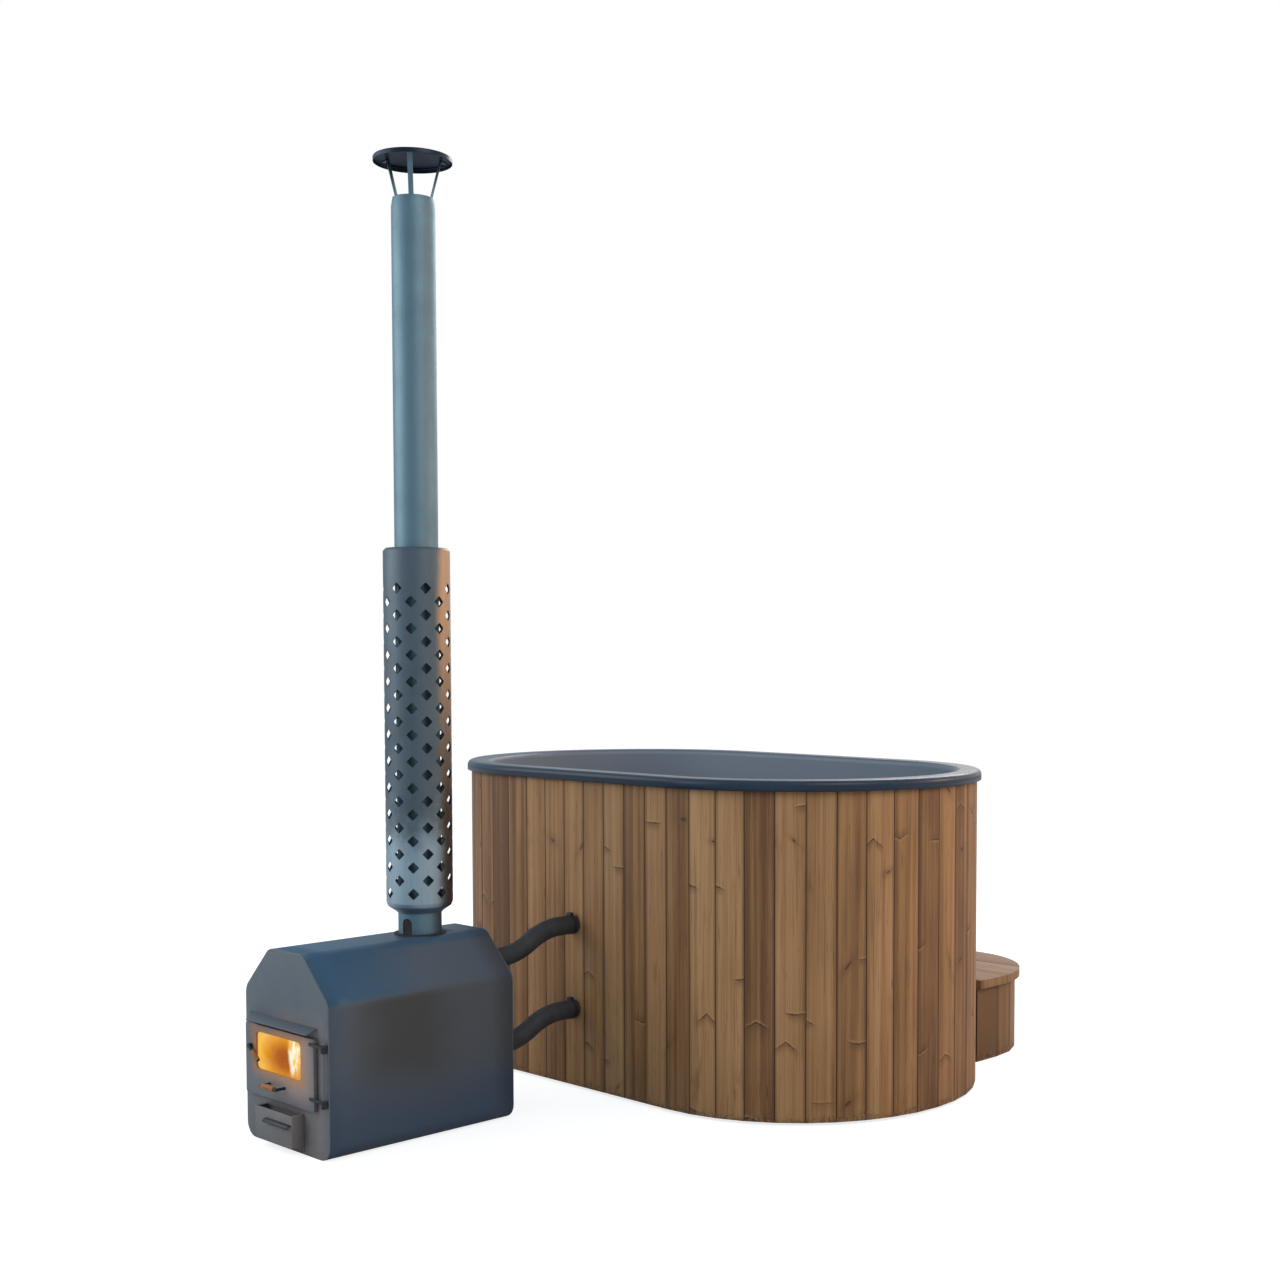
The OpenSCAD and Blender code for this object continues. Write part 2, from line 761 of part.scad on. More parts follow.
module hose(z_tub) {
    z0 = z_tub - hose_rise;
    color("#2b2b2d") {
        translate([hose_x, hose_y0 + hose_tail + seam, z0]) rotate([90, 0, 0])
            linear_extrude(hose_tail + seam) hose_section();
        translate([hose_x, hose_y0 + hose_tail, z0]) hose_bend(0.05, seam / hose_bend_radius * 180 / PI);
        translate([hose_x, hose_y1 - hose_tail, z_tub]) rotate([180, 0, 0]) hose_bend(0.1);
        translate([hose_x, hose_y1, z_tub]) rotate([90, 0, 0]) linear_extrude(hose_tail + seam) hose_section();
    }
}

module clamp_band() {
    band = 0.8;
    difference() {
        union() {
            cylinder(r = hose_r + running + band, h = clamp_width);
            translate([-9, hose_r - 1, 0]) cube([18, 9, clamp_width]);
        }
        translate([0, 0, -1]) cylinder(r = hose_r + running, h = clamp_width + 2);
    }
}

module hose_clamps() {
    color("#3c3e40") for (z = port_heights) {
        translate([hose_x, hose_y1 - 8, z]) rotate([90, 0, 0]) clamp_band();
        translate([hose_x, hose_y0 + 8 + clamp_width, z - hose_rise]) rotate([90, 0, 0]) clamp_band();
    }
}

// ---------- heater ----------

// Outline of the heater, drawn inwards by d from its outer face
function heater_corners(d) =
    let (
        n = [heater_height - shoulder_height, heater_half - top_width / 2],
        m = n / norm(n),
        k = m * [heater_half, shoulder_height] - d,
        side_x = heater_half - d,
        top_z = heater_height - d,
        side_z = (k - m[0] * side_x) / m[1],
        top_x = (k - m[1] * top_z) / m[0]
    ) [[-side_x, d], [side_x, d], [side_x, side_z], [top_x, top_z], [-top_x, top_z], [-side_x, side_z]];

module heater_outline(d) {
    low = max(2, heel_radius - d);
    high = max(2, fold_radius - d);
    polygon(rounded(heater_corners(d), [low, low, high, high, high, high]));
}

// Raises an X-Z drawing into a slab from y0 to y1
module slab(y0, y1) { translate([heater_x, y1, 0]) rotate([90, 0, 0]) linear_extrude(y1 - y0) children(); }

module heater_jacket() {
    color("#4b5a69") difference() {
        slab(firebox_y0, heater_rear_y - end_plate) difference() {
            heater_outline(0);
            heater_outline(jacket_sheet);
        }
        translate([heater_x, flue_y, heater_height - jacket_sheet - 20]) cylinder(r = collar_r + fit, h = 40);
    }
}

module heater_rear() {
    color("#4b5a69") difference() {
        slab(heater_rear_y - end_plate, heater_rear_y) heater_outline(0);
        for (z = port_heights) translate([hose_x, heater_rear_y + 5, z - hose_rise]) rotate([90, 0, 0])
            cylinder(r = spigot_r + fit, h = end_plate + 10);
    }
}

module heater_front() {
    color("#5b6670") difference() {
        slab(heater_front_y, firebox_y0) heater_outline(0);
        translate([heater_left + opening_left, heater_front_y - 1, opening_low])
            cube([opening_right - opening_left, end_plate + 2, opening_high - opening_low]);
        translate([heater_left + ash_left + 4 - ash_clearance, heater_front_y - 1, ash_lift - fit])
            cube([ash_inner + 2 * ash_clearance, end_plate + 2, ash_tray_tall + 2 * ash_clearance]);
    }
}

// Welded box: the fire above a shelf that holds the grate, and the ash space below
module firebox_outline(half, low, high, heel) {
    polygon(concat(arc(half - heel, low + heel, heel, -90, 0), [[half, high], [-half, high]],
        arc(-half + heel, low + heel, heel, 180, 270)));
}

module firebox() {
    shelf_z = grate_height - 12;
    heel = max(firebox_plate + 1, heel_radius - jacket_sheet - water_space + 2);   // just inside the jacket's fold
    color("#3a3a3c") difference() {
        slab(firebox_y0, firebox_y1) firebox_outline(firebox_half, firebox_floor, firebox_height, heel);
        translate([heater_x - firebox_half + firebox_plate, firebox_y0 - 1, shelf_z])
            cube([2 * (firebox_half - firebox_plate), firebox_y1 - firebox_y0 - firebox_plate + 1,
                firebox_height - firebox_plate - shelf_z]);
        slab(firebox_y0 - 1, firebox_y1 - firebox_plate) firebox_outline(firebox_half - firebox_plate,
            firebox_floor + firebox_plate, shelf_z - firebox_plate, heel - firebox_plate);
        translate([heater_x - grate_half_x + 8, grate_y0 + 8, shelf_z - firebox_plate - 1])
            cube([2 * grate_half_x - 16, grate_length - 16, firebox_plate + 2]);
        translate([heater_x, flue_y, firebox_height - firebox_plate - 1]) cylinder(r = collar_r + fit, h = firebox_plate + 2);
    }
}

grate_half_x = 90;
grate_length = 260;
grate_y0 = firebox_y0 + 90;

module grate() {
    bars = 9;
    bar = 10;
    gap = (2 * grate_half_x - 2 * bar - bars * bar) / (bars + 1);
    color("#2a2a2a") difference() {
        translate([heater_x - grate_half_x, grate_y0, grate_height - 12]) cube([2 * grate_half_x, grate_length, 12]);
        for (k = [0:bars])
            translate([heater_x - grate_half_x + bar + k * (bar + gap), grate_y0 + 14, grate_height - 13])
                cube([gap, grate_length - 28, 14]);
    }
}

module heater_spigots() {
    color("silver") for (z = port_heights)
        translate([hose_x, heater_rear_y + hose_end_gap + spigot_reach, z - hose_rise]) rotate([90, 0, 0])
            tube(spigot_r, spigot_wall, hose_end_gap + spigot_reach + end_plate + 16);
}

// A sloping sheet, welded on by its edge, with its left end cut at a slant
module door_hood() {
    left = heater_left + door_left + 4;
    right = heater_left + door_left + door_width;
    color("#3d4c5c") intersection() {
        translate([left, heater_front_y, 0]) rotate([90, 0, 90]) linear_extrude(right - left) polygon([
            [0, hood_height], [0, hood_height - hood_sheet], [-hood_reach, hood_height - hood_drop - hood_sheet],
            [-hood_reach, hood_height - hood_drop]]);
        translate([0, heater_front_y, hood_height - hood_drop - hood_sheet - 1]) linear_extrude(hood_drop + hood_sheet + 2)
            polygon([[left, 1], [left, 0], [left + 1.06 * hood_reach, -hood_reach - 1], [right + 1, -hood_reach - 1], [right + 1, 1]]);
    }
}

// ---------- door ----------

module door_box(left, low, w, h, y0, y1) {
    translate([heater_left + left, y0, low]) cube([w, y1 - y0, h]);
}

glass_lap = 6;
retainer_lap = 5;
glass_back = door_back - 0.5;

module door() {
    color("#626a72") {
        difference() {
            slab(door_front, door_back) translate([door_left - heater_half, door_low])
                polygon(rounded([[0, 0], [door_width, 0], [door_width, door_tall], [0, door_tall]], [6, 6, 6, 6]));
            slab(door_front - 1, door_back + 1) translate([window_left - heater_half, window_low])
                polygon(rounded([[0, 0], [window_width, 0], [window_width, window_tall], [0, window_tall]],
                    [for (i = [0:3]) window_radius]));
            door_box(window_left - glass_lap - fit, window_low - glass_lap - fit, window_width + 2 * (glass_lap + fit),
                window_tall + 2 * (glass_lap + fit), glass_back - glass_thickness, door_back + 1);
            translate([latch_x, door_back + 1, latch_z]) rotate([90, 0, 0])
                cylinder(r = latch_pin_r + running, h = door_thickness + 2);
        }
        for (z = strap_heights) difference() {
            union() {
                translate([heater_left + strap_left, door_front - strap_thickness, z])
                    cube([hinge_x - heater_left - strap_left, strap_thickness, strap_tall]);
                translate([hinge_x, hinge_y, z]) cylinder(r = knuckle_r, h = strap_tall);
            }
            translate([hinge_x, hinge_y, z - 1]) cylinder(r = hinge_r + running, h = strap_tall + 2);
        }
    }
}

module door_glass() {
    color("orange", 0.6) door_box(window_left - glass_lap, window_low - glass_lap, window_width + 2 * glass_lap,
        window_tall + 2 * glass_lap, glass_back - glass_thickness, glass_back);
}

module glass_retainer() {
    color("dimgray") difference() {
        door_box(window_left - retainer_lap - 2, window_low - retainer_lap - 2, window_width + 2 * retainer_lap + 4,
            window_tall + 2 * retainer_lap + 4, door_back, door_back + 1.2);
        door_box(window_left - 1, window_low - 1, window_width + 2, window_tall + 2, door_back - 1, door_back + 2);
    }
}

module door_seal() {
    seal = 8;
    edge = 1.5;
    color("dimgray") difference() {
        door_box(opening_left - edge - seal, opening_low - edge - seal, opening_right - opening_left + 2 * (edge + seal),
            opening_high - opening_low + 2 * (edge + seal), door_back, heater_front_y - 0.2);
        door_box(opening_left - edge, opening_low - edge, opening_right - opening_left + 2 * edge,
            opening_high - opening_low + 2 * edge, door_back - 1, heater_front_y + 1);
    }
}

// Two lugs on the front plate, each just under a strap's knuckle
module hinge_brackets() {
    color("#4b5a69") for (z = strap_heights) difference() {
        union() {
            translate([hinge_x - 5, hinge_y, z - fit - bracket_tall])
                cube([10, heater_front_y - hinge_y, bracket_tall]);
            translate([hinge_x, hinge_y, z - fit - bracket_tall]) cylinder(r = knuckle_r, h = bracket_tall);
        }
        translate([hinge_x, hinge_y, z - bracket_tall - 2]) cylinder(r = hinge_r + running, h = bracket_tall + 4);
    }
}

module hinge_rod() {
    low = strap_heights[0] - bracket_tall - 4;
    high = strap_heights[1] + strap_tall + 4;
    color("#2f3338") {
        translate([hinge_x, hinge_y, low]) cylinder(r = hinge_r, h = high - low);
        translate([hinge_x, hinge_y, high]) cylinder(r = hinge_r + 2, h = 3);
    }
}

module pull_bracket() {
    color("#26282b") {
        for (u = [pull_left + pull_rod_r, pull_left + pull_length - pull_rod_r])
            translate([heater_left + u, door_front, pull_z]) rotate([90, 0, 0]) cylinder(r = pull_rod_r, h = pull_reach);
        translate([heater_left + pull_left, door_front - pull_reach, pull_z]) rotate([0, 90, 0])
            cylinder(r = pull_rod_r, h = pull_length);
    }
}

module pull_grip() {
    color("#8a6236") translate([heater_left + pull_left + 2 * pull_rod_r + fit, door_front - pull_reach, pull_z])
        rotate([0, 90, 0]) tube(8.5, 8.5 - pull_rod_r - running, pull_length - 4 * pull_rod_r - 6);
}

// The lever's pin goes through the door, and the tongue on its inner end turns in behind the front plate
module latch_lever() {
    front = latch_back - latch_thickness;
    color("#26282b") translate([latch_x, 0, latch_z]) {
        translate([0, tongue_y + 5, 0]) rotate([90, 0, 0]) cylinder(r = latch_pin_r, h = tongue_y + 5 - front);
        translate([0, door_front - fit, 0]) rotate([90, 0, 0]) cylinder(r = latch_boss_r, h = door_front - fit - front);
        translate([0, front, 0]) rotate([0, latch_tilt, 0]) translate([0, 0, -latch_bar / 2])
            cube([latch_arm, latch_thickness, latch_bar]);
    }
}

module latch_grip() {
    color("#8a6236") translate([latch_x, latch_back - latch_thickness / 2, latch_z]) rotate([0, latch_tilt, 0]) difference() {
        translate([20, 0, 0]) rotate([0, 90, 0]) cylinder(r = 6.5, h = latch_arm - 18);
        translate([0, -latch_thickness / 2 - running, -latch_bar / 2 - running])
            cube([latch_arm, latch_thickness + 2 * running, latch_bar + 2 * running]);
    }
}

module latch_tongue() {
    color("#4b5a69") translate([latch_x, tongue_y + 4.5, latch_z]) rotate([90, 102, 0]) difference() {
        union() {
            cylinder(r = latch_boss_r, h = 4.5);
            translate([0, -3.5, 0.25]) cube([tongue_length, 7, 4]);
        }
        translate([0, 0, -1]) cylinder(r = latch_pin_r + running, h = 7);
    }
}

// ---------- ash drawer ----------

module ash_drawer() {
    x0 = heater_left + ash_left;
    y0 = heater_front_y - ash_reach;
    low = ash_lift;
    front_tall = ash_lift + ash_tall - ash_front_low;
    tray_y = heater_front_y - fit - ash_sheet;
    color("#6b7076") {
        // front box, open behind, with an air slot in its top
        difference() {
            translate([x0, y0, ash_front_low]) cube([ash_width, ash_reach - fit, front_tall]);
            translate([x0 + ash_sheet, y0 + ash_sheet, ash_front_low + ash_sheet])
                cube([ash_width - 2 * ash_sheet, ash_reach, front_tall - 2 * ash_sheet]);
            translate([x0 + 8, y0 + 5, ash_lift + ash_tall - ash_sheet - 1])
                cube([ash_width - 16, ash_reach - 10, ash_sheet + 2]);
        }
        // tray
        difference() {
            translate([x0 + 4, tray_y, low]) cube([ash_inner, ash_length, ash_tray_tall]);
            translate([x0 + 4 + ash_sheet, tray_y + ash_sheet, low + ash_sheet])
                cube([ash_inner - 2 * ash_sheet, ash_length - 2 * ash_sheet, ash_tray_tall]);
        }
    }
}

// A lip folded down from the front of the drawer
module ash_handle() {
    len = 120;
    x0 = heater_left + ash_left + ash_width - 4 - len;
    y0 = heater_front_y - ash_reach;
    z = ash_lift + 70;
    color("#2f3338") translate([x0, y0, z]) rotate([90, 0, 90]) linear_extrude(len) polygon(concat(
        [[0, 7]], arc(-3, -3, 10, 78, 180), arc(-3, -3, 7.5, 180, 78), [[0, 4.3]]));
}

// ---------- flue ----------

module at_flue(z) { translate([heater_x, flue_y, z]) children(); }

module flue_collar() {
    low = firebox_height - firebox_plate;
    color("#3d4c5c") {
        at_flue(low) tube(collar_r, 3, collar_top - low);
        at_flue(heater_height) difference() {
            cylinder(r = flue_r + 12, h = collar_flange - fit);
            translate([0, 0, -1]) cylinder(r = collar_r - 3, h = collar_flange + 2);
        }
    }
}

notch_direction = -72;

module lower_flue() {
    color("lightslategray") difference() {
        at_flue(flue_z0) tube(flue_r, flue_sheet, lower_flue_length);
        // an arched notch at the foot shows the collar inside
        at_flue(flue_z0 - 1) rotate([0, 0, notch_direction]) {
            translate([0, -15, 0]) cube([flue_r + 5, 30, 30]);
            translate([0, 0, 30]) rotate([0, 90, 0]) cylinder(r = 15, h = flue_r + 5);
        }
    }
}

module upper_flue() {
    inner = flue_r - flue_sheet;
    spigot = inner - running;
    color("lightslategray") at_flue(0) rotate_extrude() polygon([
        [spigot, flue_joint - socket_length], [spigot, flue_joint + fit], [flue_r, flue_joint + fit],
        [flue_r, flue_top - swage], [flue_r - swage_in, flue_top], [inner - swage_in, flue_top],
        [inner, flue_top - swage], [inner, flue_joint + 12], [spigot - flue_sheet, flue_joint + 3],
        [spigot - flue_sheet, flue_joint - socket_length]]);
}

module flue_guard() {
    step = 360 / holes_per_row;
    color("lightsteelblue") difference() {
        at_flue(guard_body_z0) tube(guard_r, guard_sheet, guard_length);
        for (row = [0:hole_rows - 1], k = [0:holes_per_row - 1])
            at_flue(hole_z0 + row * hole_pitch) rotate([0, 0, hole_start + (k + (row % 2) / 2) * step])
                translate([guard_r - 12, 0, 0]) rotate([0, 90, 0]) cylinder(r = hole_size / 2, h = 20, $fn = 4);
    }
}

// The rings that carry the guard on the pipe
module guard_top_ring() {
    inner = flue_r + fit;
    color("lightsteelblue") at_flue(guard_top) rotate_extrude() polygon([
        [inner, -8], [inner, 8], [guard_r - 8, 8], [guard_r, 0], [guard_r - guard_sheet - fit, 0],
        [guard_r - guard_sheet - fit, -8], [guard_r - guard_sheet - fit - 2, -8],
        [guard_r - guard_sheet - fit - 2, 2], [guard_r - 9, 6], [inner + 2, 6], [inner + 2, -8]]);
}

module guard_foot_ring() {
    inner = flue_r + fit;
    s = guard_sheet;
    color("lightsteelblue") at_flue(guard_body_z0) rotate_extrude() polygon([
        [guard_r, 0], [guard_r - 4, -guard_foot * 0.4], [inner + s + 4, -guard_foot * 0.85],
        [inner + s, -guard_foot], [inner, -guard_foot], [inner, -guard_foot * 0.75],
        [guard_r - 4 - s, -guard_foot * 0.25], [guard_r - s - 2 - fit, 0], [guard_r - s - 2 - fit, 9],
        [guard_r - s - fit, 9], [guard_r - s - fit, 0]]);
}

module rain_cap() {
    color("#2a3138") at_flue(cap_z) rotate_extrude() polygon([
        [0, cap_rise], [0, cap_rise - cap_sheet], [cap_r - cap_sheet, cap_edge / 2 - cap_sheet],
        [cap_r - cap_sheet, -cap_edge / 2], [cap_r, -cap_edge / 2], [cap_r, cap_edge / 2]]);
}

// Height of the cap's underside at a distance r from its centre
function cap_under(r) = cap_z + cap_rise - cap_sheet - (cap_rise - cap_edge / 2) * r / (cap_r - cap_sheet);

module cap_struts() {
    t = strut_thickness;
    r1 = strut_head_r;
    inner = strut_foot_r;
    color("lightslategray") for (a = [-41, 79, 199]) at_flue(0) rotate([0, 0, a])
        translate([0, strut_width / 2, 0]) rotate([90, 0, 0]) linear_extrude(strut_width) polygon([
            [inner - t, flue_top - 40], [inner, flue_top - 40], [inner, flue_top + 2],
            [r1, cap_under(r1) - fit - t], [r1 + 14, cap_under(r1 + 14) - fit - t], [r1 + 14, cap_under(r1 + 14) - fit],
            [r1 - t, cap_under(r1 - t) - fit], [inner - t, flue_top + 3]]);
}

// ---------- step ----------

module step_outline(half, straight) {
    union() {
        translate([0, straight]) intersection() {
            circle(half);
            translate([-half - 1, 0]) square([2 * half + 2, half + 1]);
        }
        translate([-half, 0]) square([2 * half, straight]);
    }
}

module at_step(z) { translate([step_x, step_back, z]) children(); }

module step_tread() {
    pitch = step_depth / tread_boards;
    color("rosybrown") at_step(skirt_top) for (k = [0:tread_boards - 1])
        linear_extrude(tread_thickness) intersection() {
            step_outline(step_half, step_straight);
            translate([-step_half - 1, k * pitch + (k > 0 ? tread_gap / 2 : 0)])
                square([2 * step_half + 2, k == tread_boards - 1 ? pitch : k > 0 ? pitch - tread_gap : pitch - tread_gap / 2]);
        }
}

module step_stave(x, y, a, w, half, tongue = true) {
    translate([x, y, 0]) rotate([0, 0, a]) linear_extrude(skirt_top) stave_section(w, half, tongue);
}

module step_skirt() {
    color("peru") at_step(0) {
        for (k = [0:skirt_side_count - 1]) {
            step_stave(skirt_half, (k + 0.5) * skirt_side_w, 0, skirt_side_w, 0);
            step_stave(-skirt_half, (k + 0.5) * skirt_side_w, 180, skirt_side_w, 0, k > 0);
        }
        for (k = [0:skirt_end_count - 1]) {
            a = (k + 0.5) * skirt_pitch;
            step_stave(skirt_flat * cos(a), step_straight + skirt_flat * sin(a), a, skirt_end_w, skirt_pitch / 2);
        }
    }
}

// Each rib is a back rail, two side pieces and an arch of segments
module step_rib(z) {
    segments = 6;
    inner = rib_outer - rib_width;
    slit = fit / inner * 180 / PI;
    at_step(z) {
        for (s = [0, 1]) mirror([s, 0, 0])
            translate([inner, 0, 0]) cube([rib_outer_side - inner, step_straight - fit, rib_thickness]);
        translate([-inner + fit, 0, 0]) cube([2 * (inner - fit), rib_width, rib_thickness]);
        for (k = [0:segments - 1]) translate([0, step_straight, 0]) rotate([0, 0, k * 180 / segments + slit / 2])
            rotate_extrude(angle = 180 / segments - slit)
                translate([inner, 0]) square([rib_width, rib_thickness]);
    }
}

module step_ribs() {
    color("burlywood") {
        step_rib(rib_low_z);
        step_rib(skirt_top - rib_thickness);
    }
}

module step_posts() {
    z0 = rib_low_z + rib_thickness;
    h = skirt_top - rib_thickness - z0;
    r = rib_outer - rib_width / 2;
    color("burlywood") at_step(z0) {
        for (s = [-1, 1]) translate([s * r - step_post / 2, 8, 0]) cube([step_post, step_post, h]);
        for (a = [45, 135]) translate([0, step_straight, 0]) rotate([0, 0, a])
            translate([r - step_post / 2, -step_post / 2, 0]) cube([step_post, step_post, h]);
    }
}

// ---------- the assembly ----------

for (g = [0:len(STAVE_NODES) - 1]) stave_group(g);
liner();
upper_ring();
middle_ring();
lower_ring();
frame_posts();
base_plate();
base_bearers();
floor_joists();
drain_strainer();
drain_pipe();
drain_valve();
drain_lever();
tub_spigots();
spigot_gaskets();
spigot_nuts();
port_grilles();
hose(upper_port_height);  // upper_hose
hose(lower_port_height);  // lower_hose
hose_clamps();
heater_jacket();
heater_rear();
heater_front();
firebox();
grate();
heater_spigots();
door_hood();
door();
door_glass();
glass_retainer();
door_seal();
hinge_brackets();
hinge_rod();
pull_bracket();
pull_grip();
latch_lever();
latch_grip();
latch_tongue();
ash_drawer();
ash_handle();
flue_collar();
lower_flue();
upper_flue();
flue_guard();
guard_top_ring();
guard_foot_ring();
rain_cap();
cap_struts();
step_tread();
step_skirt();
step_ribs();
step_posts();
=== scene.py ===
import math
import random

import bmesh
import bpy
from mathutils import Matrix, Vector


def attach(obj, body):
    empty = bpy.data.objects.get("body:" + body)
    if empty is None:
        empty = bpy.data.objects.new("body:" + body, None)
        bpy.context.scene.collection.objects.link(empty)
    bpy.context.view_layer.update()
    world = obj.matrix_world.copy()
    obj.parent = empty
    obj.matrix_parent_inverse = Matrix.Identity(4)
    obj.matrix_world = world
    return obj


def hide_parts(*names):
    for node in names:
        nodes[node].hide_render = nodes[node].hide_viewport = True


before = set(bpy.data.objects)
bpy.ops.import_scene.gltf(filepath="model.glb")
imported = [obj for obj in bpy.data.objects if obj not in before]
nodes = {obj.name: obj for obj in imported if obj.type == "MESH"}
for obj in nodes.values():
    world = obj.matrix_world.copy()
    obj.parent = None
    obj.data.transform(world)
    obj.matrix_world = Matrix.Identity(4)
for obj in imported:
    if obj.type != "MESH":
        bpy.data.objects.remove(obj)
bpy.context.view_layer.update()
print("frame loaded:", len(nodes), "nodes")

view = {"place": (3.898, -3.920, 1.309), "yaw": 43.38, "pitch": 2.866, "lens": 48.67,
        "shift": (-0.0920, 0.0780)}
pictureRight = (0.73, 0.69)  # the way to the picture's right, on the ground


def makeCamera():
    data = bpy.data.cameras.new("camera")
    data.sensor_width = 36
    data.lens = view["lens"]
    data.shift_x, data.shift_y = view["shift"]
    cam = bpy.data.objects.new("camera", data)
    bpy.context.collection.objects.link(cam)
    cam.location = view["place"]
    cam.rotation_euler = (math.radians(90 - view["pitch"]), 0, math.radians(view["yaw"]))
    bpy.context.scene.camera = cam


makeCamera()
print("camera placed")


def fromSrgb(r, g, b):
    def lin(c):
        c = c / 255
        return c / 12.92 if c <= 0.04045 else ((c + 0.055) / 1.055) ** 2.4
    return (lin(r), lin(g), lin(b), 1.0)


def grey(value):
    return (value, value, value, 1.0)


def newShader(name):
    mat = bpy.data.materials.new(name)
    mat.use_nodes = True
    tree = mat.node_tree
    tree.nodes.clear()
    out = tree.nodes.new("ShaderNodeOutputMaterial")
    bsdf = tree.nodes.new("ShaderNodeBsdfPrincipled")
    tree.links.new(bsdf.outputs[0], out.inputs[0])
    return mat, tree, bsdf


def plug(tree, value, socket):
    if isinstance(value, bpy.types.NodeSocket):
        tree.links.new(value, socket)
    else:
        socket.default_value = value


def addNode(tree, kind, inputs=None, out=0, **settings):
    node = tree.nodes.new("ShaderNode" + kind)
    for key, value in settings.items():
        setattr(node, key, value)
    for key, value in (inputs or {}).items():
        plug(tree, value, node.inputs[key])
    return node.outputs[out]


def calc(tree, operation, a, b=0.0, c=0.0):
    node = tree.nodes.new("ShaderNodeMath")
    node.operation = operation
    for i, value in enumerate((a, b, c)):
        plug(tree, value, node.inputs[i])
    return node.outputs[0]


def blendColour(tree, factor, a, b):
    node = tree.nodes.new("ShaderNodeMix")
    node.data_type = "RGBA"
    plug(tree, factor, node.inputs[0])
    plug(tree, a, node.inputs[6])
    plug(tree, b, node.inputs[7])
    return node.outputs[2]


def remap(tree, value, lo, hi, toLo=0.0, toHi=1.0, smooth=True):
    node = tree.nodes.new("ShaderNodeMapRange")
    node.interpolation_type = "SMOOTHSTEP" if smooth else "LINEAR"
    for i, v in enumerate((value, lo, hi, toLo, toHi)):
        plug(tree, v, node.inputs[i])
    return node.outputs[0]


def ramp(tree, factor, stops):
    node = tree.nodes.new("ShaderNodeValToRGB")
    marks = node.color_ramp.elements
    while len(marks) < len(stops):
        marks.new(0.5)
    for mark, (place, colour) in zip(marks, stops):
        mark.position = place
        mark.color = colour
    plug(tree, factor, node.inputs[0])
    return node.outputs[0]


def scaled(tree, vector, scale):
    return addNode(tree, "VectorMath", {0: vector, 1: scale}, operation="MULTIPLY")


def noise(tree, vector, scale, detail=2.0, rough=0.5, out=0, distort=0.0):
    inputs = {"Vector": vector, "Scale": scale, "Detail": detail, "Roughness": rough, "Distortion": distort}
    return addNode(tree, "TexNoise", inputs, out=out)


def objectPlace(tree):
    return addNode(tree, "TexCoord", out=3)


def bump(tree, height, strength, distance):
    return addNode(tree, "Bump", {"Height": height, "Strength": strength, "Distance": distance})


def apart(tree, vector):
    # the three outputs of a vector
    node = tree.nodes.new("ShaderNodeSeparateXYZ")
    plug(tree, vector, node.inputs[0])
    return node.outputs


def newPoints(made):
    return [g for g in made["geom"] if isinstance(g, bmesh.types.BMVert)]


def pullEdges(bm, edges, vector, steps=1):
    # open edges are pulled along a vector into a sheet
    for _ in range(steps):
        made = bmesh.ops.extrude_edge_only(bm, edges=edges)
        edges = onlyEdges(made["geom"])
        bmesh.ops.translate(bm, vec=Vector(vector) / steps, verts=newPoints(made))
    return newPoints(made) + edges


def onlyEdges(geom):
    return [g for g in geom if isinstance(g, bmesh.types.BMEdge)]


def addPiece(bm, name, material, body="tub", stands=(), smooth=30):
    mesh = bpy.data.meshes.new(name)
    bm.to_mesh(mesh)
    bm.free()
    obj = bpy.data.objects.new(name, mesh)
    bpy.context.collection.objects.link(obj)
    mesh.materials.append(material)
    smoothByAngle(mesh, smooth)
    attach(obj, body)
    if stands:
        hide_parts(*stands)
    return obj


def smoothByAngle(mesh, degrees):
    mesh.shade_smooth()
    mesh.set_sharp_from_angle(angle=math.radians(degrees))


def applyModifiers(obj):
    bpy.context.view_layer.update()
    seen = obj.evaluated_get(bpy.context.evaluated_depsgraph_get())
    mesh = bpy.data.meshes.new_from_object(seen)
    mesh.name = obj.name
    obj.modifiers.clear()
    obj.data = mesh


def giveWall(obj, thickness, even=True):
    # the wall grows inwards from the skin
    solid = obj.modifiers.new("wall", "SOLIDIFY")
    solid.thickness = thickness
    solid.offset = -1
    solid.use_even_offset = even
    applyModifiers(obj)


def cut(obj, cutters, how="DIFFERENCE"):
    # the cutters are closed bmeshes, used up here
    for bm in cutters:
        mesh = bpy.data.meshes.new("cutter")
        bm.to_mesh(mesh)
        bm.free()
        tool = bpy.data.objects.new("cutter", mesh)
        bpy.context.collection.objects.link(tool)
        mod = obj.modifiers.new("cut", "BOOLEAN")
        mod.operation = how
        mod.solver = "EXACT"
        mod.object = tool
        applyModifiers(obj)
        bpy.data.objects.remove(tool)


def roundCorner(bm, vert, radius, segments):
    a, b = [(e.other_vert(vert).co - vert.co).normalized() for e in vert.link_edges]
    turn = math.pi - a.angle(b)
    bmesh.ops.bevel(bm, geom=[vert], offset=radius * math.tan(turn / 2), offset_type="OFFSET",
                    segments=segments, profile=0.5, affect="VERTICES", material=-1)


def drawLine(points, radii=None, closed=False, segments=6):
    bm = bmesh.new()
    verts = [bm.verts.new(p) for p in points]
    for a, b in zip(verts, verts[1:]):
        bm.edges.new((a, b))
    if closed:
        bm.edges.new((verts[-1], verts[0]))
    for vert, radius in zip(verts, radii or []):
        if radius:
            roundCorner(bm, vert, radius, segments)
    return bm


def fillOutline(bm):
    bmesh.ops.contextual_create(bm, geom=bm.edges[:])
    return bm


def pull(bm, vector):
    # all faces are pulled along a vector into a closed solid
    made = bmesh.ops.extrude_face_region(bm, geom=bm.faces[:])
    bmesh.ops.translate(bm, vec=vector, verts=newPoints(made))
    bmesh.ops.recalc_face_normals(bm, faces=bm.faces)
    return bm


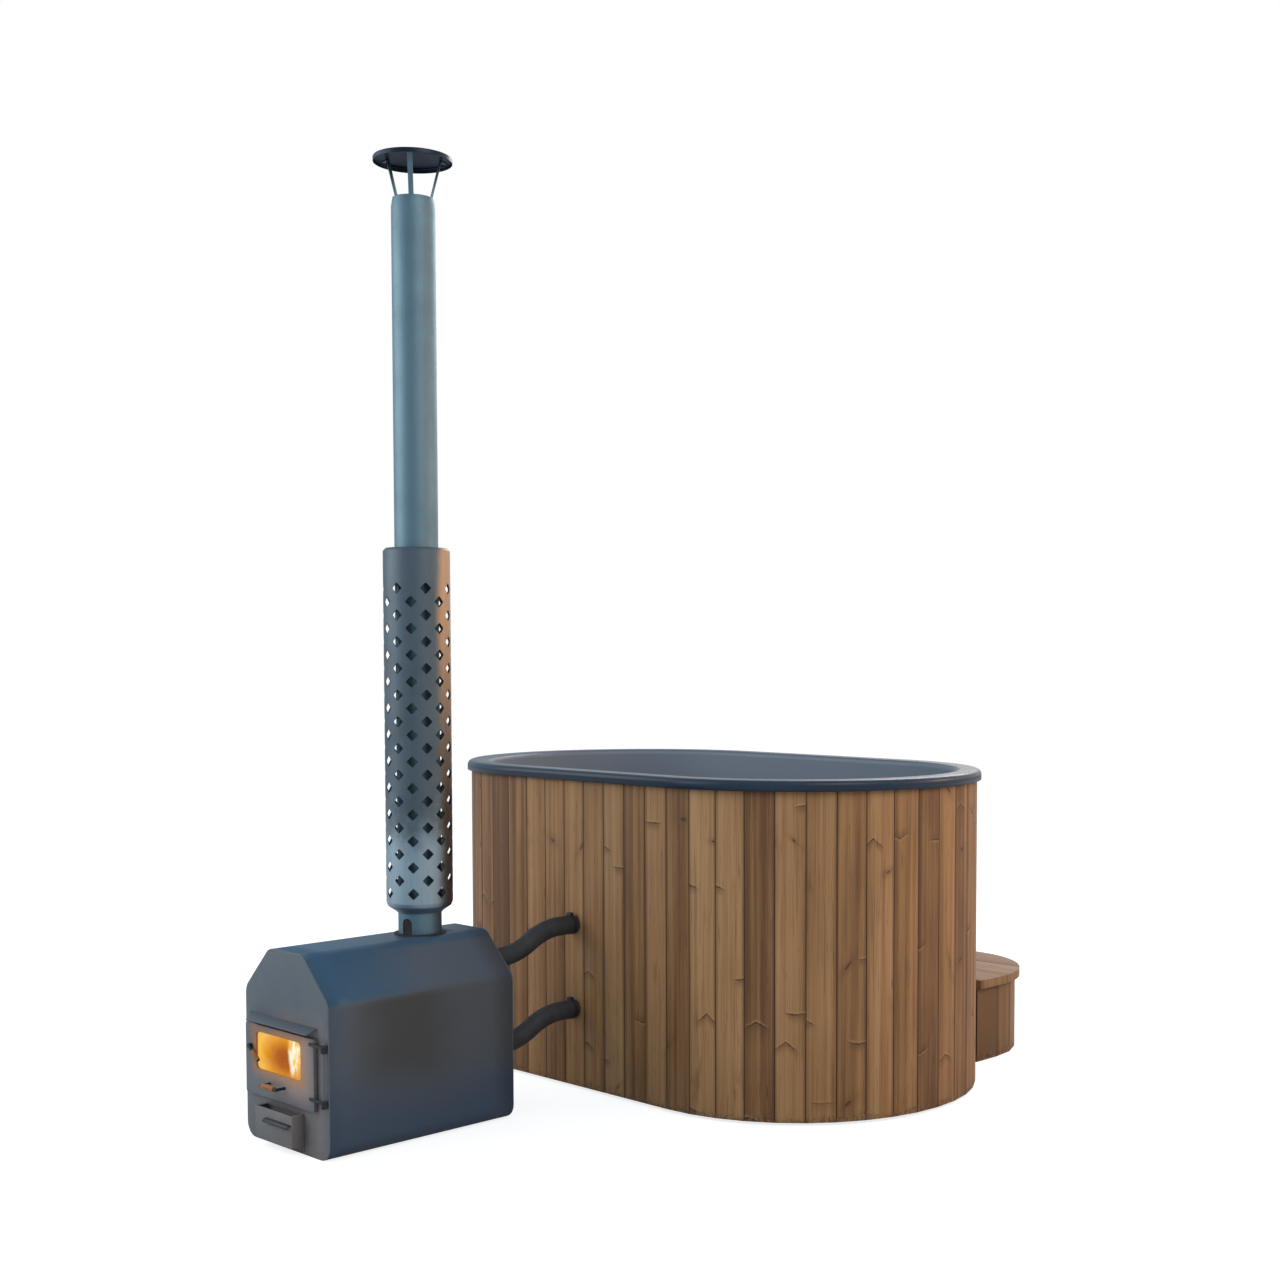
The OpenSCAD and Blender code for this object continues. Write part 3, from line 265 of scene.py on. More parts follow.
def lathe(points, centre, radii=None, steps=96):
    # the section is drawn as (radius, height) and turned round an upright axis
    bm = drawLine([(centre[0] + r, centre[1], z) for r, z in points], radii, closed=True, segments=4)
    bmesh.ops.spin(bm, geom=bm.verts[:] + bm.edges[:], cent=(centre[0], centre[1], 0), axis=(0, 0, 1),
                   angle=2 * math.pi, steps=steps, use_merge=True)
    bmesh.ops.remove_doubles(bm, verts=bm.verts, dist=1e-5)
    bmesh.ops.recalc_face_normals(bm, faces=bm.faces)
    return bm


def rod(centre, radius, depth, axis="Z", segments=48):
    # a plain closed bar that cuts holes
    turn = {"X": Matrix.Rotation(math.pi / 2, 4, "Y"), "Y": Matrix.Rotation(math.pi / 2, 4, "X"),
            "Z": Matrix.Identity(4)}[axis]
    bm = bmesh.new()
    bmesh.ops.create_cone(bm, cap_ends=True, segments=segments, radius1=radius, radius2=radius, depth=depth,
                          matrix=Matrix.Translation(centre) @ turn)
    return bm


def joined(parts):
    whole = bmesh.new()
    for bm in parts:
        mesh = bpy.data.meshes.new("part")
        bm.to_mesh(mesh)
        bm.free()
        whole.from_mesh(mesh)
        bpy.data.meshes.remove(mesh)
    return whole


def easeEdges(bm, edges, size, segments):
    bmesh.ops.bevel(bm, geom=edges, offset=size, offset_type="OFFSET", segments=segments, profile=0.5,
                    affect="EDGES", clamp_overlap=True, material=-1)


def softCopy(name, material, body="tub", edge=0.0008, segments=2):
    # a copy of a CAD node, merged first, then eased at every edge that turns more than 35 degrees
    bm = bmesh.new()
    bm.from_mesh(nodes[name].data)
    bmesh.ops.remove_doubles(bm, verts=bm.verts, dist=2e-6)
    bmesh.ops.dissolve_limit(bm, angle_limit=math.radians(0.5), verts=bm.verts, edges=bm.edges)
    sharp = [e for e in bm.edges if len(e.link_faces) == 2 and e.calc_face_angle(0) > math.radians(35)]
    easeEdges(bm, sharp, edge, segments)
    return addPiece(bm, name + "Soft", material, body, (name,), smooth=32)


def dress(material, *names):
    # CAD nodes that keep their shape get a finish
    for name in names:
        for place in nodes[name].material_slots:
            place.material = material


# colours from pale to dark, the year rings' spacing in metres and their tone across one ring,
# and the grid in which branches lie
woodLook = {
    "light": fromSrgb(181, 138, 94), "mid": fromSrgb(158, 114, 71), "dark": fromSrgb(104, 67, 38),
    "late": fromSrgb(92, 62, 37), "knot": fromSrgb(46, 29, 18), "seam": fromSrgb(70, 47, 29),
    "ring": 0.0052, "knotCellAcross": 0.125, "knotCellAlong": 0.30,
    "ringTones": ((0, 0.06), (0.45, 0.16), (0.82, 0.75), (0.90, 1.0), (0.98, 0.10), (1, 0.06)),
}


def woodShader(name, look, weathered=True):
    mat, tree, bsdf = newShader(name)
    place = addNode(tree, "Attribute", out=1, attribute_name="boardPos")
    tone = addNode(tree, "Attribute", out=2, attribute_name="boardTone")
    across, deep, along = apart(tree, place)
    # the trunk's axis wanders behind the board
    axisLine = addNode(tree, "CombineXYZ", {0: 0.0, 1: 0.0, 2: calc(tree, "MULTIPLY", along, 1.15)})
    wander = apart(tree, noise(tree, axisLine, 1.0, 2.5, 0.55, out=1))
    px = calc(tree, "MULTIPLY_ADD", calc(tree, "SUBTRACT", wander[0], 0.5), 0.17, across)
    py = calc(tree, "MULTIPLY_ADD", calc(tree, "SUBTRACT", wander[1], 0.5), 0.11,
              calc(tree, "SUBTRACT", 0.034, deep))
    # branches, one place in each cell of a stretched grid
    cells = tree.nodes.new("ShaderNodeTexVoronoi")
    cells.voronoi_dimensions = "2D"
    cells.feature = "F1"
    cellPlace = addNode(tree, "CombineXYZ", {0: calc(tree, "DIVIDE", across, look["knotCellAcross"]),
                                             1: calc(tree, "DIVIDE", along, look["knotCellAlong"])})
    plug(tree, cellPlace, cells.inputs["Vector"])
    cells.inputs["Scale"].default_value = 1.0
    centre = apart(tree, cells.outputs["Position"])
    chance = tree.nodes.new("ShaderNodeSeparateColor")
    plug(tree, cells.outputs["Color"], chance.inputs[0])
    dx = calc(tree, "SUBTRACT", across, calc(tree, "MULTIPLY", centre[0], look["knotCellAcross"]))
    dl = calc(tree, "SUBTRACT", along, calc(tree, "MULTIPLY", centre[1], look["knotCellAlong"]))
    ragged = calc(tree, "MULTIPLY", calc(tree, "SUBTRACT", noise(tree, place, 55.0, 2.5), 0.5), 0.011)
    # a branch cut along its length shows as a slanted spike
    slope = calc(tree, "MULTIPLY_ADD", chance.outputs[2], 2.4, -1.2)
    slant = calc(tree, "MULTIPLY_ADD", dx, slope, dl)
    far = calc(tree, "MULTIPLY", calc(tree, "MULTIPLY", dx, dx), 0.36)
    far = calc(tree, "SQRT", calc(tree, "ADD", far, calc(tree, "MULTIPLY", slant, slant)))
    far = calc(tree, "ADD", far, calc(tree, "MULTIPLY", ragged, 0.5))
    there = remap(tree, chance.outputs[1], 0.60, 0.62)
    size = calc(tree, "MULTIPLY_ADD", chance.outputs[0], 0.0045, 0.0026)
    reach = calc(tree, "DIVIDE", far, size)
    # where the trunk closed round a branch, a dark crease runs across the board like a flat roof
    steep = calc(tree, "MULTIPLY_ADD", chance.outputs[0], 1.1, -0.25)
    fold = calc(tree, "ADD", calc(tree, "MULTIPLY_ADD", calc(tree, "ABSOLUTE", dx), steep, dl), ragged)
    wide = remap(tree, calc(tree, "ABSOLUTE", dx), 0.016, 0.042, 1.0, 0.0)
    creased = calc(tree, "MULTIPLY", remap(tree, chance.outputs[1], 0.40, 0.38), wide)
    heavy = remap(tree, noise(tree, place, 70.0, 1.0), 0.36, 0.62, 0.0014, 0.0046)
    crease = calc(tree, "MULTIPLY", creased, remap(tree, calc(tree, "ABSOLUTE", fold), heavy, 0.0003))
    under = calc(tree, "MULTIPLY", creased, remap(tree, fold, -0.030, -0.001, 0.0, 1.0))
    under = calc(tree, "MULTIPLY", under, remap(tree, fold, 0.0015, -0.0005, 0.0, 1.0))
    nearness = calc(tree, "MULTIPLY", calc(tree, "MULTIPLY", reach, reach), -0.09)
    swirl = calc(tree, "MULTIPLY", there, calc(tree, "EXPONENT", nearness))
    radius = calc(tree, "SQRT", calc(tree, "ADD", calc(tree, "MULTIPLY", px, px),
                                     calc(tree, "MULTIPLY", py, py)))
    radius = calc(tree, "MULTIPLY_ADD", swirl, calc(tree, "MULTIPLY", size, 2.4), radius)
    radius = calc(tree, "MULTIPLY_ADD", under, 0.004, radius)
    fine = noise(tree, scaled(tree, place, (70, 70, 3.0)), 1.0, 2.0)
    radius = calc(tree, "MULTIPLY_ADD", fine, 0.0022, radius)
    phase = calc(tree, "FRACT", calc(tree, "DIVIDE", radius, look["ring"]))
    rings = ramp(tree, phase, [(at, grey(tone)) for at, tone in look["ringTones"]])
    ringFade = remap(tree, noise(tree, scaled(tree, place, (16, 16, 1.1)), 1.0, 2.0), 0.32, 0.68, 0.25, 1.0)
    rings = calc(tree, "MULTIPLY", rings, ringFade)
    fibres = noise(tree, scaled(tree, place, (620, 620, 9)), 1.0, 4.0, 0.62)
    hairs = noise(tree, scaled(tree, place, (1500, 1500, 34)), 1.0, 2.0, 0.6)
    bands = noise(tree, scaled(tree, place, (46, 46, 0.7)), 1.0, 3.0, 0.6)
    broad = noise(tree, scaled(tree, place, (6, 6, 2.6)), 1.0, 2.0, 0.5)
    shade = calc(tree, "MULTIPLY_ADD", calc(tree, "SUBTRACT", bands, 0.5), 1.60, tone)
    shade = calc(tree, "MULTIPLY_ADD", calc(tree, "SUBTRACT", broad, 0.5), 0.55, shade)
    shade = calc(tree, "MULTIPLY_ADD", calc(tree, "SUBTRACT", fibres, 0.5), 0.40, shade)
    base = ramp(tree, shade, [(0.0, look["light"]), (0.5, look["mid"]), (1.0, look["dark"])])
    colour = blendColour(tree, calc(tree, "MULTIPLY", rings, 0.46), base, look["late"])
    # thin dark lines where the pith or a resin seam runs out of the face
    vein = noise(tree, scaled(tree, place, (120, 120, 1.3)), 1.0, 2.0, 0.5)
    vein = calc(tree, "ABSOLUTE", calc(tree, "SUBTRACT", vein, 0.5))
    colour = blendColour(tree, remap(tree, vein, 0.018, 0.004, 0.0, 0.42), colour, look["late"])
    # the board is darker towards its two joints, painted shade
    rim = addNode(tree, "Attribute", out=2, attribute_name="boardSide")
    rim = calc(tree, "MULTIPLY_ADD", calc(tree, "SUBTRACT", bands, 0.5), 0.35, calc(tree, "ABSOLUTE", rim))
    colour = blendColour(tree, remap(tree, rim, 0.72, 1.02, 0.0, 0.55), colour, look["late"])
    colour = blendColour(tree, calc(tree, "MULTIPLY", swirl, 0.50), colour, fromSrgb(104, 70, 42))
    # painted shade just below each crease
    colour = blendColour(tree, calc(tree, "MULTIPLY", under, 0.52), colour, fromSrgb(92, 62, 38))
    # just above the crease the wood is paler, a painted highlight
    creaseHighlight = calc(tree, "MULTIPLY", remap(tree, fold, 0.0012, 0.0030), remap(tree, fold, 0.0110, 0.0040))
    creaseHighlight = calc(tree, "MULTIPLY", creased, creaseHighlight)
    colour = blendColour(tree, calc(tree, "MULTIPLY", creaseHighlight, 0.34), colour, look["light"])
    knotMask = calc(tree, "MULTIPLY", there, remap(tree, reach, 1.05, 0.70))
    colour = blendColour(tree, calc(tree, "MULTIPLY", knotMask, 0.80), colour, fromSrgb(74, 47, 29))
    colour = blendColour(tree, calc(tree, "MULTIPLY", crease, 0.80), colour, look["knot"])
    # soft brown patches, left where bark or a buried branch lay near
    patch = noise(tree, scaled(tree, place, (19, 19, 5)), 1.0, 3.0, 0.6)
    colour = blendColour(tree, remap(tree, patch, 0.60, 0.72, 0.0, 0.42), colour, fromSrgb(98, 66, 40))
    # small resin streaks and dark flecks along the grain
    fleck = noise(tree, scaled(tree, place, (150, 150, 10)), 1.0, 1.0)
    colour = blendColour(tree, remap(tree, fleck, 0.71, 0.78, 0.0, 0.70), colour, look["knot"])
    # dirt in the joints, read from the depth below the board's face
    seam = remap(tree, deep, -0.00002, -0.0011, 0.0, 0.95, smooth=False)
    colour = blendColour(tree, seam, colour, look["seam"])
    rough = calc(tree, "MULTIPLY_ADD", fibres, 0.22, 0.50)
    if weathered:
        height = apart(tree, objectPlace(tree))[2]
        ragNoise = noise(tree, objectPlace(tree), 34.0, 5.0, 0.65)
        low = remap(tree, calc(tree, "MULTIPLY_ADD", ragNoise, -0.060, height), 0.002, -0.020)
        speck = remap(tree, noise(tree, objectPlace(tree), 120.0, 3.0), 0.42, 0.60)
        wet = blendColour(tree, speck, fromSrgb(58, 41, 28), fromSrgb(146, 112, 80))
        colour = blendColour(tree, calc(tree, "MULTIPLY", low, 0.55), colour, wet)
    plug(tree, colour, bsdf.inputs["Base Color"])
    plug(tree, rough, bsdf.inputs["Roughness"])
    relief = calc(tree, "ADD", fibres, calc(tree, "MULTIPLY", hairs, 0.5))
    relief = calc(tree, "ADD", calc(tree, "MULTIPLY", rings, -0.5), relief)
    plug(tree, bump(tree, relief, 0.35, 0.0006), bsdf.inputs["Normal"])
    bsdf.inputs["Specular IOR Level"].default_value = 0.35
    return mat


def plainWood(name, light, dark, scale):
    # rough frame timber
    mat, tree, bsdf = newShader(name)
    place = objectPlace(tree)
    grain = noise(tree, scaled(tree, place, scale), 1.0, 5.0, 0.6, distort=0.4)
    lines = noise(tree, scaled(tree, place, tuple(6 * s for s in scale)), 1.0, 2.0)
    shade = calc(tree, "MULTIPLY_ADD", lines, 0.35, calc(tree, "MULTIPLY", grain, 0.8))
    plug(tree, ramp(tree, shade, [(0.3, light), (0.75, dark)]), bsdf.inputs["Base Color"])
    plug(tree, remap(tree, grain, 0.2, 0.8, 0.62, 0.82), bsdf.inputs["Roughness"])
    plug(tree, bump(tree, lines, 0.3, 0.0005), bsdf.inputs["Normal"])
    return mat


def paintShader(name, colour, fade, rough, metallic=0.0):
    # powder coat: an even colour with slight cloudiness, fine peel and dust
    mat, tree, bsdf = newShader(name)
    place = objectPlace(tree)
    cloud = noise(tree, place, 5.0, 4.0, 0.6)
    grit = noise(tree, place, 900.0, 2.0)
    skin = noise(tree, place, 260.0, 2.0)
    tint = blendColour(tree, remap(tree, cloud, 0.35, 0.70), colour, fade)
    tint = blendColour(tree, remap(tree, grit, 0.62, 0.80, 0.0, 0.25), tint, fade)
    plug(tree, tint, bsdf.inputs["Base Color"])
    plug(tree, remap(tree, cloud, 0.3, 0.7, rough - 0.05, rough + 0.07), bsdf.inputs["Roughness"])
    plug(tree, bump(tree, skin, 0.25, 0.0003), bsdf.inputs["Normal"])
    bsdf.inputs["Metallic"].default_value = metallic
    return mat


# where each tone of the jacket begins and ends, three by depth in Y and three by height
jacketFade = {"rear": (-1.41, -1.20), "paintedRearLight": (-1.12, -0.96), "skyReflection": (-1.02, -1.30),
              "high": (0.14, 0.34), "fold": (0.397, 0.413), "top": (0.500, 0.515)}


def jacketShader(name, cool, pale, warm, skyBlue, rough):
    # blue low down and in front, greyer above, and a dull warm grey half way back, with a painted reflection
    # of blue sky on the chamfer and top
    mat, tree, bsdf = newShader(name)
    place = objectPlace(tree)
    drift = scaled(tree, noise(tree, place, 4.0, 3.0, 0.5, out=1), (0.16,) * 3)
    _, back, up = apart(tree, addNode(tree, "VectorMath", {0: drift, 1: place}, operation="ADD"))
    level = apart(tree, place)[2]
    rear = remap(tree, back, *jacketFade["rear"])
    high = remap(tree, up, *jacketFade["high"])
    # the fold between side and chamfer is where one tone ends and the next begins
    chamfer = remap(tree, level, *jacketFade["fold"])
    dulled = calc(tree, "MULTIPLY", rear, high)
    dulled = calc(tree, "MULTIPLY", dulled, calc(tree, "MULTIPLY_ADD", chamfer, -0.75, 1.0))
    tint = blendColour(tree, calc(tree, "MULTIPLY", high, 0.9), cool, pale)
    tint = blendColour(tree, calc(tree, "MULTIPLY", dulled, 0.9), tint, warm)
    # painted light: the rear of the warm grey patch is lifted towards the pale tone, where the tub's shade
    # falls
    paintedRearLight = remap(tree, back, *jacketFade["paintedRearLight"], 0.0, 0.5)
    tint = blendColour(tree, calc(tree, "MULTIPLY", dulled, paintedRearLight), tint, pale)
    # painted reflection of blue sky, on the chamfer strongest at the front, and on the top
    skyReflection = calc(tree, "MULTIPLY", chamfer, remap(tree, back, *jacketFade["skyReflection"], 0.10, 1.0))
    skyReflection = calc(tree, "MAXIMUM", skyReflection, remap(tree, level, *jacketFade["top"], 0.0, 0.75))
    tint = blendColour(tree, calc(tree, "MULTIPLY", skyReflection, 0.92), tint, skyBlue)
    grit = noise(tree, place, 900.0, 2.0)
    skin = noise(tree, place, 260.0, 2.0)
    tint = blendColour(tree, remap(tree, grit, 0.62, 0.80, 0.0, 0.20), tint, fromSrgb(92, 98, 106))
    plug(tree, tint, bsdf.inputs["Base Color"])
    plug(tree, calc(tree, "MULTIPLY_ADD", dulled, 0.12, rough), bsdf.inputs["Roughness"])
    plug(tree, bump(tree, skin, 0.25, 0.0003), bsdf.inputs["Normal"])
    bsdf.inputs["Specular IOR Level"].default_value = 0.32
    return mat


def windowReach(tree, place, window):
    # how far a point of the front lies outside the window's outline, and how far below its foot
    right, _, height = apart(tree, place)
    aside = calc(tree, "ABSOLUTE", calc(tree, "SUBTRACT", right, window["x"]))
    aside = calc(tree, "MAXIMUM", calc(tree, "SUBTRACT", aside, window["half"]), 0.0)
    above = calc(tree, "ABSOLUTE", calc(tree, "SUBTRACT", height, window["z"]))
    above = calc(tree, "MAXIMUM", calc(tree, "SUBTRACT", above, window["tall"] / 2), 0.0)
    far = calc(tree, "SQRT", calc(tree, "MULTIPLY_ADD", aside, aside, calc(tree, "MULTIPLY", above, above)))
    return far, calc(tree, "SUBTRACT", window["z"] - window["tall"] / 2, height)


def firelitDoorShader(name, colour, fade, warm, fireGlowAmber, window, rough):
    # the front's coat, with painted firelight round the window: a warm tint, and most of all an amber glow
    # under it
    mat, tree, bsdf = newShader(name)
    place = objectPlace(tree)
    cloud = noise(tree, place, 14.0, 4.0, 0.6)
    far, below = windowReach(tree, place, window)
    far = calc(tree, "MULTIPLY_ADD", calc(tree, "SUBTRACT", cloud, 0.5), 0.020, far)
    tint = blendColour(tree, remap(tree, noise(tree, place, 5.0, 4.0, 0.6), 0.35, 0.70), colour, fade)
    # the painted firelight reaches furthest towards the hinge
    reach = remap(tree, far, 0.100, 0.0, 0.0, 0.92)
    fromMiddle = calc(tree, "SUBTRACT", apart(tree, place)[0], window["x"])
    hingeWay = remap(tree, fromMiddle, -0.11, 0.07, 0.15, 1.0)
    tint = blendColour(tree, calc(tree, "MULTIPLY", reach, hingeWay), tint, warm)
    glow = calc(tree, "MULTIPLY", remap(tree, below, 0.034, 0.004), remap(tree, far, 0.040, 0.002))
    glow = calc(tree, "MULTIPLY", glow, remap(tree, cloud, 0.35, 0.6, 0.25, 0.8))
    tint = blendColour(tree, glow, tint, fireGlowAmber)
    tint = blendColour(tree, remap(tree, noise(tree, place, 900.0, 2.0), 0.62, 0.80, 0.0, 0.25), tint, fade)
    plug(tree, tint, bsdf.inputs["Base Color"])
    plug(tree, remap(tree, cloud, 0.3, 0.7, rough - 0.05, rough + 0.07), bsdf.inputs["Roughness"])
    plug(tree, bump(tree, noise(tree, place, 260.0, 2.0), 0.25, 0.0003), bsdf.inputs["Normal"])
    return mat


def footScorchGlintTint(tree, place, cloud, tint, look):
    # a bright foot, darker above it, and one side tan high up and dark brown low down, that side band partly
    # scorch and partly a painted glint of low warm sun
    right, deep, height = apart(tree, place)
    cloudy = calc(tree, "SUBTRACT", cloud, 0.5)
    ragged = calc(tree, "MULTIPLY_ADD", cloudy, 0.30, height)
    tint = blendColour(tree, remap(tree, ragged, *look["foot"]), tint, look["bright"])
    side = calc(tree, "MULTIPLY", calc(tree, "SUBTRACT", deep, look["y"]), look["way"][1])
    side = calc(tree, "MULTIPLY_ADD", calc(tree, "SUBTRACT", right, look["x"]), look["way"][0], side)
    side = calc(tree, "MULTIPLY_ADD", cloudy, 0.030, side)
    burntAndGlint = blendColour(tree, remap(tree, height, *look["rise"]), look["dark"], look["tan"])
    return blendColour(tree, remap(tree, side, *look["band"], 0.0, 0.85), tint, burntAndGlint)


def metalShader(name, colour, stain, rough, brush=(1400, 1400, 14), scorchGlintLook=None):
    # brushed metal, its fine lines along one axis, with soft stains
    mat, tree, bsdf = newShader(name)
    place = objectPlace(tree)
    lines = noise(tree, scaled(tree, place, brush), 1.0, 3.0, 0.6)
    cloud = noise(tree, place, 7.0, 4.0, 0.62)
    tint = blendColour(tree, calc(tree, "MULTIPLY", remap(tree, cloud, 0.40, 0.68), 0.35), colour, stain)
    if scorchGlintLook:
        tint = footScorchGlintTint(tree, place, cloud, tint, scorchGlintLook)
    tint = blendColour(tree, remap(tree, lines, 0.3, 0.7, 0.0, 0.22), tint, stain)
    plug(tree, tint, bsdf.inputs["Base Color"])
    worn = calc(tree, "MULTIPLY_ADD", lines, 0.12, calc(tree, "MULTIPLY_ADD", cloud, 0.16, rough - 0.14))
    plug(tree, worn, bsdf.inputs["Roughness"])
    plug(tree, bump(tree, lines, 0.12, 0.0002), bsdf.inputs["Normal"])
    bsdf.inputs["Metallic"].default_value = 1.0
    return mat


def gelcoatShader(name, colour, speck, dull, rough, plan):
    # glossy on the rim, and duller inside the basin, where the paler colour is painted light that lifts the
    # basin's shade
    mat, tree, bsdf = newShader(name)
    place = objectPlace(tree)
    cloud = noise(tree, place, 3.0, 3.0)
    ripple = noise(tree, place, 26.0, 2.0)
    dust = noise(tree, place, 1400.0, 1.0)
    # how far a point lies from the line between the centres of the two round ends
    right, deep, _ = apart(tree, place)
    past = calc(tree, "SUBTRACT", calc(tree, "ABSOLUTE", right), plan["halfStraight"])
    past = calc(tree, "MAXIMUM", past, 0.0)
    out = calc(tree, "SQRT", calc(tree, "MULTIPLY_ADD", past, past, calc(tree, "MULTIPLY", deep, deep)))
    inside = remap(tree, out, plan["glossTo"], plan["dullFrom"])
    tint = blendColour(tree, remap(tree, cloud, 0.35, 0.68), colour, speck)
    # painted light: the basin's inside is given a paler colour
    tint = blendColour(tree, inside, tint, dull)
    tint = blendColour(tree, remap(tree, dust, 0.66, 0.74, 0.0, 0.30), tint, speck)
    plug(tree, tint, bsdf.inputs["Base Color"])
    worn = calc(tree, "MULTIPLY_ADD", inside, 0.16, remap(tree, cloud, 0.3, 0.7, rough, rough + 0.08))
    plug(tree, worn, bsdf.inputs["Roughness"])
    plug(tree, bump(tree, ripple, 0.10, 0.0006), bsdf.inputs["Normal"])
    bsdf.inputs["Specular IOR Level"].default_value = 0.25
    bsdf.inputs["Coat Weight"].default_value = 0.08
    bsdf.inputs["Coat Roughness"].default_value = 0.10
    return mat


def rubberShader(name, colour, worn, rough, grain=420.0):
    mat, tree, bsdf = newShader(name)
    place = objectPlace(tree)
    cloud = noise(tree, place, 18.0, 4.0, 0.6)
    pores = noise(tree, place, grain, 3.0, 0.6)
    plug(tree, blendColour(tree, remap(tree, cloud, 0.35, 0.72), colour, worn), bsdf.inputs["Base Color"])
    plug(tree, remap(tree, pores, 0.2, 0.8, rough - 0.08, rough + 0.08), bsdf.inputs["Roughness"])
    plug(tree, bump(tree, pores, 0.45, 0.0005), bsdf.inputs["Normal"])
    return mat


def castShader(name, colour, rust, rough):
    # fire-side steel: dull, scaled and sooty
    mat, tree, bsdf = newShader(name)
    place = objectPlace(tree)
    scale = noise(tree, place, 60.0, 5.0, 0.65)
    soot = noise(tree, place, 11.0, 3.0)
    tint = blendColour(tree, calc(tree, "MULTIPLY", remap(tree, scale, 0.45, 0.70), 0.3), colour, rust)
    tint = blendColour(tree, remap(tree, soot, 0.45, 0.70, 0.0, 0.6), tint, (0.008, 0.008, 0.008, 1))
    plug(tree, tint, bsdf.inputs["Base Color"])
    plug(tree, remap(tree, scale, 0.2, 0.8, rough - 0.1, rough + 0.1), bsdf.inputs["Roughness"])
    plug(tree, bump(tree, scale, 0.5, 0.0008), bsdf.inputs["Normal"])
    bsdf.inputs["Metallic"].default_value = 0.5
    return mat


window = {"x": -0.131375, "half": 0.109, "z": 0.2465, "tall": 0.101}
# the guard's band on one side is partly scorch and partly a painted glint of low warm sun
scorchAndGlint = {"x": -0.110375, "y": -1.060, "way": pictureRight, "foot": (0.92, 0.72), "rise": (0.85, 1.45),
          "band": (0.060, 0.088), "bright": fromSrgb(160, 178, 188), "dark": fromSrgb(86, 70, 56),
          "tan": fromSrgb(196, 160, 128)}
basinPlan = {"halfStraight": 0.355, "glossTo": 0.497, "dullFrom": 0.484}
stepLook = dict(woodLook, light=fromSrgb(158, 122, 84), mid=fromSrgb(138, 102, 66))
gripLook = dict(woodLook, light=fromSrgb(178, 128, 76), mid=fromSrgb(150, 98, 52), dark=fromSrgb(112, 66, 34),
                ring=0.0024, knotCellAcross=0.6, knotCellAlong=2.0)
paint = {
    "brownWood": woodShader("brownWood", woodLook),
    "stepWood": woodShader("stepWood", stepLook),
    "gripWood": woodShader("gripWood", gripLook, weathered=False),
    "frameWood": plainWood("frameWood", fromSrgb(196, 160, 112), fromSrgb(150, 112, 70), (40, 40, 7)),
    "linerGloss": gelcoatShader("linerGloss", fromSrgb(30, 44, 61), fromSrgb(36, 49, 67),
                                fromSrgb(116, 123, 135), 0.32, basinPlan),
    "heaterPaint": jacketShader("heaterPaint", fromSrgb(58, 71, 88), fromSrgb(82, 88, 97),
                                fromSrgb(61, 59, 57), fromSrgb(42, 76, 101), 0.44),
    # the front plate and the door carry painted firelight from the window
    "frontPaint": firelitDoorShader("frontPaint", fromSrgb(80, 91, 101), fromSrgb(88, 94, 100),
                             fromSrgb(124, 112, 108), fromSrgb(104, 100, 99),
                             dict(window, half=0.150, z=0.160, tall=0.280), 0.50),
    "doorPaint": firelitDoorShader("doorPaint", fromSrgb(84, 92, 100), fromSrgb(92, 95, 99),
                            fromSrgb(156, 130, 120), fromSrgb(176, 118, 60), window, 0.50),
    "blackSteel": paintShader("blackSteel", fromSrgb(26, 29, 33), fromSrgb(38, 41, 45), 0.50, metallic=0.2),
    "stainless": metalShader("stainless", fromSrgb(176, 180, 184), fromSrgb(138, 142, 148), 0.32,
                             brush=(900, 900, 900)),
    # the blue in the flue's and the guard's steel colour is a painted reflection of blue sky
    "flueSteel": metalShader("flueSteel", fromSrgb(110, 134, 146), fromSrgb(94, 116, 130), 0.56),
    "guardSteel": metalShader("guardSteel", fromSrgb(98, 110, 119), fromSrgb(76, 84, 92), 0.52,
                              scorchGlintLook=scorchAndGlint),
    "capSteel": metalShader("capSteel", fromSrgb(44, 54, 68), fromSrgb(30, 36, 46), 0.38,
                            brush=(200, 200, 200)),
    "fireSteel": castShader("fireSteel", fromSrgb(62, 58, 56), fromSrgb(112, 72, 48), 0.72),
    "hoseRubber": rubberShader("hoseRubber", fromSrgb(38, 39, 42), fromSrgb(52, 53, 56), 0.66),
    "sealRubber": rubberShader("sealRubber", fromSrgb(58, 56, 54), fromSrgb(80, 77, 72), 0.85, grain=900.0),
    "drainPlastic": rubberShader("drainPlastic", fromSrgb(176, 178, 178), fromSrgb(196, 197, 196), 0.42,
                                 grain=1200.0),
    "valveMetal": metalShader("valveMetal", fromSrgb(186, 182, 170), fromSrgb(140, 132, 112), 0.34,
                              brush=(300, 300, 300)),
    "leverRed": paintShader("leverRed", fromSrgb(168, 44, 34), fromSrgb(146, 36, 28), 0.40),
}
print("finishes made:", len(paint))


tub = {
    "halfStraight": 0.355, "endRadius": 0.550, "perSide": 8, "perEnd": 20, "low": 0.008, "high": 0.951,
    "thick": 0.020, "gap": 0.0006, "ease": 0.0022, "tongue": 0.006,
    # tone of each board, 0 pale to 1 dark, in order from the heater's side at -X
    "tones": [0.72, 0.48, 0.62, 0.40, 0.56, 0.30, 0.70, 0.36, 0.78, 0.14, 0.26, 0.92, 0.30, 0.44, 0.66, 0.30,
              0.52, 0.84, 0.48, 0.78, 0.66, 0.50],
    # the boards further round have a tone by chance, and those of the left end are darker, as painted shade
    # from the heater
    "otherTones": (0.25, 0.75), "leftFrom": 46, "leftShadedTones": (0.75, 1.05), "toneSeed": 900, "grainSeed": 71,
}


